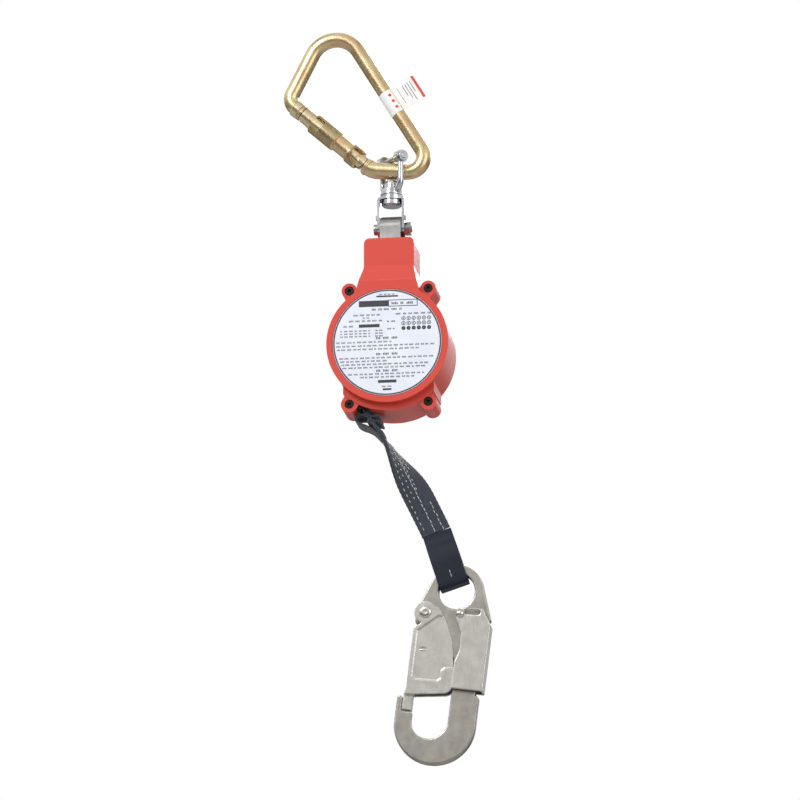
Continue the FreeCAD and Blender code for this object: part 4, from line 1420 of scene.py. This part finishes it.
    def build_tag(self) -> list[Mesh]:
        """Build the film tag: a wrap round the bar, a doubled flag, and its generic print.

        Returns:
            The film, its red inks and its grey inks.
        """
        middle, along, off = self.tag_frame()
        radius = self.bar + 0.22
        front = Vector((0, -1, 0))
        start = math.degrees(math.asin(3.2 / radius))
        wrap = [(math.radians(a), radius) for a in range(int(90 + start), 450 - 40, 8)]
        line = [off * math.sin(a) * r * MM + front * math.cos(a) * r * MM for a, r in wrap]
        leaves = [(self.bar * 0.72, 3.1), (self.bar + 2.5, 3.15), (self.bar + self.tag_flag * 0.5, 3.6),
                  (self.bar + self.tag_flag, 3.3)]
        flag = [off * rise * MM + front * bow * MM for rise, bow in leaves]
        points = [middle + p for p in [*reversed(line), *flag]]
        strip = Ribbon(self.tag_length, 0.22, 2.0, 0.0)
        film = strip.along("tag_film", Line(points), lambda run, heading: along)
        rows = [(-0.36, 0.12 + 0.16 * (row % 3), 8.2 + row * 2.4, 8.8 + row * 2.4) for row in range(4)]
        marks = {"tag_red_print": [(-0.5, 0.5, 18.4, 20.6)],
                 "tag_grey_print": [*rows, (-0.38, 0.3, 3.4, 3.8)]}
        pieces = [film]
        for name, spans in marks.items():
            boxes, loops = [], []
            for left, right, low, high in spans:
                base = len(boxes)
                for side, rise in ((left, low), (right, low), (right, high), (left, high)):
                    bow = 3.3 + 0.35 * math.sin(math.pi * min(max((rise - 2.5) / 18, 0), 1)) + 0.16
                    boxes.append(middle + along * side * self.tag_length * MM + off * (self.bar + rise) * MM
                                 + front * bow * MM)
                loops.append([base, base + 1, base + 2, base + 3])
            pieces.append(from_data(name, boxes, [], loops))
        dots, loops = [], []
        for number in range(3):
            centre = middle + along * (-0.27 + 0.27 * number) * self.tag_length * MM + off * 2.0 * MM
            base = len(dots)
            for corner in range(16):
                angle = math.tau * corner / 16
                rise = 2.0 + 1.3 * math.sin(angle)
                depth = math.sqrt(max(radius ** 2 - rise ** 2, 0.0)) + 0.2
                dots.append(centre + along * 1.3 * math.cos(angle) * MM + off * 1.3 * math.sin(angle) * MM
                            + front * depth * MM)
            loops.append([base + i for i in range(16)])
        pieces.append(from_data("tag_dots", dots, [], loops))
        return pieces

    def build(self) -> None:
        """Build, dress and place every piece of the carabiner."""
        ready(self.build_frame(), "carabiner", Shop.zinc, ["carabiner_frame"])
        for piece in self.build_collars():
            ready(piece, "carabiner", Shop.machined)
        sleeve = self.build_sleeve()
        self.lay_out_knurl(sleeve)
        ready(sleeve, "lock_sleeve", Shop.knurl, ["lock_sleeve"])
        ready(eased_copy("carabiner_gate", "gate_barrel", 0.4, 2, 45), "carabiner_gate", Shop.machined,
              ["carabiner_gate"])
        film, red, grey, dots = self.build_tag()
        ready(film, "carabiner", Shop.tag, ["carabiner_tag"])
        ready(red, "carabiner", Shop.red_ink, smooth=False)
        ready(grey, "carabiner", Shop.grey_ink, smooth=False)
        ready(dots, "carabiner", Shop.red_ink, smooth=False)
        ready(eased_copy("carabiner_hinge_pin", "hinge_pin_head", 0.35, flat=PIN_FLAT), "carabiner",
              Shop.machined, ["carabiner_hinge_pin"])
        for node in ("gate_plunger", "gate_spring", "sleeve_spring"):
            dress(node, Shop.steel)


@dataclass
class Swivel:
    """Swivel: bright shackle on the carabiner's bar, stud, washers, and a stirrup with its cross bolt."""

    def build(self) -> None:
        """Build, dress and place every piece of the swivel."""
        bevels = {"shackle_bow": 0.5, "clevis_pin": 0.35, "clevis_nut": 0.35, "swivel_stud": 0.4,
                  "dome_nut": 0.6, "thrust_washers": 0.2, "stirrup": 0.4}
        for node, ease in bevels.items():
            body = "stirrup" if node == "stirrup" else "shackle"
            ready(eased_copy(node, node + "_plated", ease, 3, 40), body, Shop.bright, [node])
        # the cross bolt and nut take the darker copy of the bright plate, painted shade
        for node in ("cross_bolt", "cross_nut"):
            ready(eased_copy(node, node + "_plated", 0.45, 3, 30), "stirrup", Shop.shaded_bright, [node])
        dress("load_bush", Shop.steel)


# ------------------------------------------------------------------ housing

Loop = list[Spot]


def printed(name: str, loops: Sequence[Loop], face: float, thick: float = 0.05) -> Mesh:
    """Lay a print of flat shapes on a face that looks towards -Y.

    Args:
        name: object name.
        loops: outlines of (x, z) points in millimetres.
        face: y of the printed face in millimetres.
        thick: how far the ink stands off it.

    Returns:
        The print.
    """
    points: list[Vector] = []
    faces: list[list[int]] = []
    for loop in loops:
        faces.append([len(points) + i for i in range(len(loop))])
        points.extend(mm(x, face, z) for x, z in loop)
    return thickened(from_data(name, points, [], faces), -thick)


@dataclass
class LabelPrint:
    """Generic print of the round label: bars for lines of text, boxes and date circles, in label radii, and a
    ring of painted shade at its rim.
    """

    radius: float = 45.5
    face: float = -28.0
    centre: Spot = (46.6, -265.3)
    black: list[Loop] = field(default_factory=list)

    def at(self, across: float, up: float) -> Spot:
        """Give a place on the label in millimetres."""
        return self.centre[0] + across * self.radius, self.centre[1] + up * self.radius

    def bar(self, left: float, right: float, up: float, height: float) -> None:
        """Add a solid bar."""
        low, high = up - height / 2, up + height / 2
        corners = ((left, low), (right, low), (right, high), (left, high))
        self.black.append([self.at(*corner) for corner in corners])

    def words(self, left: float, right: float, up: float, height: float, seed: float) -> None:
        """Add a broken line that stands for a line of small print.

        Args:
            left: where it starts.
            right: where it ends.
            up: its height on the label.
            height: height of its strokes.
            seed: makes its breaks differ from the next line's.
        """
        here, number = left, 0
        while here < right - height:
            length = height * (1.6 + 1.5 * abs(math.sin(seed * 3.1 + number * 2.3)))
            end = min(here + length, right)
            strokes = max(int((end - here) / (height * 0.62)), 1)
            for stroke in range(strokes):
                start = here + stroke * height * 0.62
                tall = height * (0.72 + 0.28 * abs(math.sin(seed + stroke * 1.7 + number)))
                self.bar(start, start + height * 0.4, up - (height - tall) / 2, tall)
            here, number = end + height * 0.55, number + 1

    def frame(self, left: float, right: float, up: float, height: float, line: float) -> None:
        """Add an outlined box."""
        self.bar(left, right, up + height / 2, line)
        self.bar(left, right, up - height / 2, line)
        self.bar(left, left + line, up, height)
        self.bar(right - line, right, up, height)

    def circle(self, across: float, up: float, radius: float, line: float, steps: int = 18) -> None:
        """Add a ring of short strokes."""
        for step in range(steps):
            a, b = math.tau * step / steps, math.tau * (step + 1) / steps
            inner = radius - line
            self.black.append([self.at(across + r * math.cos(t), up + r * math.sin(t))
                               for r, t in ((radius, a), (radius, b), (inner, b), (inner, a))])

    def build(self) -> Mesh:
        """Build the whole print and the ring of painted shade at the label's rim.

        Returns:
            The print as one piece.
        """
        # black ring along the label's rim: painted shade of the gap round the label, drawn in ink
        self.circle(0.0, 0.0, 0.992, 0.026, 120)
        self.bar(-0.2, 0.2, 0.868, 0.03)
        self.words(-0.15, 0.15, 0.905, 0.026, 0.4)
        self.bar(-0.52, 0.02, 0.735, 0.115)
        self.frame(0.02, 0.56, 0.735, 0.115, 0.014)
        self.words(0.08, 0.5, 0.735, 0.05, 1.3)
        self.words(-0.28, 0.28, 0.625, 0.04, 2.2)
        for up, left, right, height in ((0.525, -0.62, -0.12, 0.034), (0.47, -0.45, -0.3, 0.026),
                                        (0.415, -0.7, -0.08, 0.034), (0.32, -0.8, -0.56, 0.034)):
            self.words(left, right, up, height, up * 9)
        self.bar(-0.52, -0.14, 0.32, 0.06)
        for number in range(3):
            up = 0.23 - 0.052 * number
            self.words(-0.86, -0.3, up, 0.028, number + 3.0)
            self.words(-0.22, -0.06, up, 0.028, number + 6.0)
        self.words(0.16, 0.84, 0.53, 0.036, 5.5)
        for row, up in enumerate((0.44, 0.348, 0.255)):
            for column in range(6):
                self.circle(0.3 + 0.094 * column, up, 0.038, 0.012 if row < 2 else 0.026)
                self.bar(0.292 + 0.094 * column, 0.308 + 0.094 * column, up, 0.034)
        self.words(0.0, 0.2, 0.395, 0.032, 8.1)
        self.words(0.0, 0.16, 0.255, 0.032, 9.4)
        heads = (0.085, -0.215, -0.53)
        for number, up in enumerate(heads):
            self.words(-0.2, 0.22, up, 0.044, number + 11.0)
        small = [(0.015, -0.93, 0.1), (-0.055, -0.93, 0.92), (-0.12, -0.92, 0.6), (-0.285, -0.88, 0.86),
                 (-0.345, -0.86, 0.02), (-0.405, -0.84, 0.8), (-0.465, -0.82, 0.74), (-0.59, -0.72, 0.7),
                 (-0.65, -0.5, 0.52)]
        for up, left, right in small:
            self.words(left, right, up, 0.031, up * 7 + 20)
        self.bar(-0.17, 0.17, -0.735, 0.055)
        self.words(-0.1, 0.1, -0.83, 0.03, 31.0)
        self.bar(-0.08, 0.08, -0.885, 0.035)
        return printed("label_print_and_rim_shade", self.black, self.face)


@dataclass
class Housing:
    """Reel housing: two moulded covers, label disc, recessed screws, load strap and the drum inside."""

    def build(self) -> None:
        """Build, dress and place every piece of the housing."""
        for node in ("front_cover", "rear_cover"):
            shell = eased_copy(node, node + "_moulding", 1.3, 3, 35, SHELL_FLAT)
            ready(shell, "housing", Shop.red, [node])
        ready(eased_copy("label_plate", "label_disc", 0.25, 2), "housing", Shop.label, ["label_plate"])
        ready(LabelPrint().build(), "housing", Shop.ink, smooth=False)
        ready(eased_copy("load_frame", "load_strap", 0.5, 2, 40), "housing", Shop.strap, ["load_frame"])
        ready(eased_copy("cover_screws", "recessed_screws", 0.3, 2, 40), "housing", Shop.black_steel,
              ["cover_screws"])
        dress("web_guide", Shop.black)
        dress("cover_inserts", Shop.brass)
        dress("shaft_bushes", Shop.brass)
        dress("brake_linings", Shop.lining)
        dress("drum_hub", Shop.alloy)
        dress("web_roll", Shop.wound)
        for node in ("ratchet_ring", "pressure_plate", "brake_screws", "spring_case", "clock_spring",
                     "main_shaft", "drum_flanges", "web_anchor_pin", "pawl_carrier", "pawl_pins",
                     "shaft_clips", "pawl_springs", "pawl_a", "pawl_b"):
            dress(node, Shop.steel)


# ------------------------------------------------------------------ snap hook

@dataclass
class SnapHook:
    """Double-locking snap hook: forged plate, folded gate, lock lever, rivet and lock pin."""

    eye: Spot = (101.1, -473.5)
    tilt: float = 7.0
    rivet: Spot = (-23.5, -20.3)
    pin: Spot = (5.8, -19.6)
    dimple: Spot = (-21.5, -51.5)
    pip: Spot = (-11.0, -65.0)
    dimple_size: Place = (6.6, 1.15, 3.7)
    pip_size: Place = (0.9, 0.7, 0.9)
    crescent_size: Place = (3.6, 0.55, 1.2)
    face: tuple[Spot, ...] = ((-28.6, -36.0), (-28.6, -75.0), (-26.0, -77.5), (-6.5, -77.5),
                              (-4.0, -75.0), (-4.0, -68.5), (-1.5, -66.0), (9.0, -66.0),
                              (9.0, -22.0), (-12.0, -22.0))
    face_depth: float = 0.7
    gate_half: float = 5.9
    head_seat: float = 6.0
    pin_seat: float = 7.9

    def at(self, across: float, depth: float, up: float) -> Vector:
        """Give a place drawn upright about the eye's centre, once the hook hangs at its tilt."""
        turn = math.radians(self.tilt)
        return mm(self.eye[0] + across * math.cos(turn) + up * math.sin(turn), depth,
                  self.eye[1] - across * math.sin(turn) + up * math.cos(turn))

    def hung(self, obj: Mesh) -> Mesh:
        """Turn an upright piece about the eye to the hook's tilt and move it there."""
        move = Matrix.Translation(mm(self.eye[0], 0, self.eye[1]))
        obj.matrix_world = move @ Matrix.Rotation(math.radians(self.tilt), 4, "Y")
        return settle(obj)

    def build_head(self, name: str, place: Spot, inner: float, profile: Sequence[Spot],
                   shank: float) -> Mesh:
        """Build a pin with a formed head on each side.

        Args:
            name: object name.
            place: its place on the hook.
            inner: where the heads start, off the middle plane.
            profile: the head's (radius, height) outline, from its rim to its middle.
            shank: radius of the pin.

        Returns:
            The pin.
        """
        front = [(radius, inner + height) for radius, height in profile]
        top = front[-1][1]
        outline = [(0, -top), *((r, -h) for r, h in reversed(front)), (shank, -inner), (shank, inner),
                   *front, (0, top)]
        return turned(name, outline, self.at(place[0], 0, place[1]), Vector((0, -1, 0)), 48)

    def build_gate(self) -> Mesh:
        """Build the folded gate with its pressed dimple and pip on both faces.

        Returns:
            The gate.
        """
        gate = node_copy("hook_gate", "gate_pressing")
        for side in Side:
            skin = (side.value * (self.gate_half - self.face_depth), side.value * 7.0)
            cut_away(gate, self.hung(plate("pressed_face", self.face, (min(skin), max(skin)))))
            for (across, up), size in ((self.dimple, self.dimple_size), (self.pip, self.pip_size)):
                cut_away(gate, self.hung(pebble(mm(across, side.value * 6.15, up), mm(*size), 40)))
        return softened(gate, PRESSED_GRAIN, PRESSED_PASSES)

    def build_crescent(self) -> Mesh:
        """Build the small crescent left standing in each dimple."""
        crescents = []
        for side in Side:
            middle = mm(self.dimple[0], side.value * 5.0, self.dimple[1] - 1.0)
            crescents.append(pebble(middle, mm(*self.crescent_size), 24))
        return self.hung(joined("dimple_crescent", crescents))

    def build(self) -> None:
        """Build, dress and place every piece of the hook."""
        forged = softened(node_copy("hook_body", "forged_plate"), FORGED_GRAIN, FORGED_PASSES)
        ready(forged, "hook", Shop.nickel, ["hook_body"])
        ready(self.build_gate(), "hook_gate", Shop.nickel_plate, ["hook_gate"])
        ready(self.build_crescent(), "hook_gate", Shop.nickel_plate)
        lever = softened(node_copy("lock_lever", "lever_pressing"), PRESSED_GRAIN, PRESSED_PASSES)
        ready(lever, "lock_lever", Shop.nickel_plate, ["lock_lever"])
        head = [(4.9, 0.0), (4.9, 0.5), (4.5, 1.0), (3.6, 1.35), (2.2, 1.5), (1.6, 1.35), (0.9, 1.3)]
        rivet = self.build_head("formed_rivet", self.rivet, self.head_seat, head, 4.0)
        ready(rivet, "hook", Shop.bright_nickel, ["hook_rivet"])
        dome = [(3.1, 0.0), (3.3, 0.4), (3.0, 1.1), (2.2, 1.7), (1.2, 2.0)]
        lock_pin = self.build_head("domed_lock_pin", self.pin, self.pin_seat, dome, 2.3)
        ready(lock_pin, "hook", Shop.bright_nickel, ["lock_pin"])
        dress("hook_gate_spring", Shop.steel)
        dress("lock_spring", Shop.steel)


# ------------------------------------------------------------------ studio

@dataclass
class Studio:
    """White studio: world, lamps, floor and camera."""

    azimuth: float = 8.0
    elevation: float = -15.0
    lens: float = 500.0
    span: float = 0.664
    aim: Spot = (6.7, -40.6)
    floor_drop: float = 6.2
    by_height: tuple[Spot, ...] = ((0.0, 0.5), (0.3, 0.45), (0.42, 0.16), (0.5, 0.2), (0.56, 0.6),
                                   (0.66, 0.8), (0.76, 1.0), (1.0, 0.9))
    by_side: tuple[Spot, ...] = ((0.0, 1.0), (0.14, 1.0), (0.24, 0.4), (0.32, 0.8), (0.5, 0.9),
                                 (0.68, 0.85), (0.76, 0.4), (0.86, 1.0))

    @staticmethod
    def graded(tree: bpy.types.NodeTree, source: Socket, low: float,
               stops: Sequence[Spot]) -> Socket:
        """Turn one part of a direction into grey levels.

        Args:
            tree: the world's nodes.
            source: that part, from low to 1.
            low: its lowest value.
            stops: (place, level) pairs, places from 0 to 1.

        Returns:
            The level as a colour.
        """
        remap = tree.nodes.new("ShaderNodeMapRange")
        remap.inputs["From Min"].default_value = low
        tree.links.new(source, remap.inputs["Value"])
        ramp = tree.nodes.new("ShaderNodeValToRGB")
        tree.links.new(remap.outputs[0], ramp.inputs[0])
        while len(ramp.color_ramp.elements) < len(stops):
            ramp.color_ramp.elements.new(0.5)
        for element, (place, level) in zip(ramp.color_ramp.elements, stops):
            element.position = place
            element.color = (level, level, level, 1.0)
        return ramp.outputs[0]

    def build_world(self) -> None:
        """Light the object from all round, with a graded studio for gloss and white behind."""
        world = bpy.data.worlds.new("white_studio")
        bpy.context.scene.world = world
        world.use_nodes = True
        tree = world.node_tree
        tree.nodes.clear()
        path = tree.nodes.new("ShaderNodeLightPath")
        coordinates = tree.nodes.new("ShaderNodeTexCoord")
        split = tree.nodes.new("ShaderNodeSeparateXYZ")
        tree.links.new(coordinates.outputs["Generated"], split.inputs[0])
        levels = self.graded(tree, split.outputs["Z"], -1.0, self.by_height)
        sides = self.graded(tree, split.outputs["X"], -1.0, self.by_side)
        graded = tree.nodes.new("ShaderNodeMix")
        graded.data_type = "RGBA"
        graded.blend_type = "MULTIPLY"
        graded.inputs["Factor"].default_value = 1.0
        tree.links.new(levels, graded.inputs[6])
        tree.links.new(sides, graded.inputs[7])
        soft = tree.nodes.new("ShaderNodeBackground")
        soft.inputs["Color"].default_value = (1.0, 1.0, 1.0, 1.0)
        soft.inputs["Strength"].default_value = 0.62
        gloss = tree.nodes.new("ShaderNodeBackground")
        tree.links.new(graded.outputs[2], gloss.inputs["Color"])
        gloss.inputs["Strength"].default_value = 1.15
        white = tree.nodes.new("ShaderNodeBackground")
        white.inputs["Color"].default_value = (1.0, 1.0, 1.0, 1.0)
        for_gloss = tree.nodes.new("ShaderNodeMixShader")
        tree.links.new(path.outputs["Is Glossy Ray"], for_gloss.inputs[0])
        tree.links.new(soft.outputs[0], for_gloss.inputs[1])
        tree.links.new(gloss.outputs[0], for_gloss.inputs[2])
        seen = tree.nodes.new("ShaderNodeMath")
        seen.operation = "MAXIMUM"
        tree.links.new(path.outputs["Is Camera Ray"], seen.inputs[0])
        tree.links.new(path.outputs["Is Transmission Ray"], seen.inputs[1])
        last = tree.nodes.new("ShaderNodeMixShader")
        tree.links.new(seen.outputs[0], last.inputs[0])
        tree.links.new(for_gloss.outputs[0], last.inputs[1])
        tree.links.new(white.outputs[0], last.inputs[2])
        output = tree.nodes.new("ShaderNodeOutputWorld")
        tree.links.new(last.outputs[0], output.inputs[0])

    def lamp(self, name: str, place: Place, target: Vector, size: float, power: float) -> None:
        """Hang one square lamp.

        Args:
            name: lamp name.
            place: where it hangs, in metres from the target.
            target: what it points at.
            size: edge of the square in metres.
            power: watts.
        """
        data = bpy.data.lights.new(name, "AREA")
        data.size = size
        data.energy = power
        lamp = bpy.data.objects.new(name, data)
        bpy.context.scene.collection.objects.link(lamp)
        way = Vector(place)
        turn = way.to_track_quat("Z", "Y").to_matrix().to_4x4()
        lamp.matrix_world = Matrix.Translation(target + way) @ turn

    def build_floor(self, low: float) -> None:
        """Lay the pale floor far below the hanging object.

        Args:
            low: lowest point of the object in metres.
        """
        deselect()
        bpy.ops.mesh.primitive_plane_add(size=30.0, location=(0, 0, low - self.floor_drop))
        floor = bpy.context.object
        floor.name = "floor"
        bench = Bench("pale_floor")
        path = bench.add("LightPath")
        glow = bench.add("Emission", {"Color": (1.0, 1.0, 1.0, 1.0), "Strength": 1.0})
        diffuse = bench.add("BsdfDiffuse", {"Color": linear("#f4f4f4")})
        mix = bench.add("MixShader", {0: bench.math("MULTIPLY", path.outputs["Is Camera Ray"], 0.85),
                                      1: diffuse.outputs[0], 2: glow.outputs[0]})
        output = next(node for node in bench.tree.nodes if node.type == "OUTPUT_MATERIAL")
        bench.tree.links.new(mix.outputs[0], output.inputs[0])
        floor.data.materials.append(bench.material)
        floor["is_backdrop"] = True

    def build_camera(self, pivot: Vector) -> None:
        """Place the camera.

        Args:
            pivot: middle of the drum, from which the picture's middle is measured.
        """
        a, e = math.radians(self.azimuth), math.radians(self.elevation)
        back = Vector((math.sin(a) * math.cos(e), -math.cos(a) * math.cos(e), math.sin(e)))
        turn = back.to_track_quat("Z", "Y").to_matrix()
        target = pivot + turn @ mm(self.aim[0], self.aim[1], 0)
        data = bpy.data.cameras.new("camera")
        data.lens = self.lens
        distance = self.span * self.lens / data.sensor_width
        camera = bpy.data.objects.new("camera", data)
        bpy.context.scene.collection.objects.link(camera)
        camera.matrix_world = Matrix.Translation(target + back * distance) @ turn.to_4x4()
        bpy.context.scene.camera = camera

    def build(self, low: float, pivot: Vector) -> None:
        """Build the whole studio."""
        bpy.context.scene.view_settings.view_transform = "Standard"
        self.build_world()
        self.build_floor(low)
        self.build_camera(pivot)
        self.lamp("key", (-0.9, -1.5, 1.1), pivot, 0.9, 22.0)
        self.lamp("fill", (1.3, -1.3, 0.2), pivot, 1.2, 9.0)
        self.lamp("rim", (0.4, 1.3, 0.9), pivot, 0.8, 10.0)


def main() -> None:
    """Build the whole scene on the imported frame."""
    logging.basicConfig(level=logging.INFO, format="%(message)s", stream=sys.stdout)
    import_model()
    cad_low, cad_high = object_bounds()
    drum_low, drum_high = (Vector(corner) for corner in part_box("main_shaft"))
    Studio().build(cad_low[2], (drum_low + drum_high) / 2)
    Carabiner().build()
    Swivel().build()
    Housing().build()
    SnapHook().build()
    Lifeline().build()


if __name__ == "__main__":
    main()
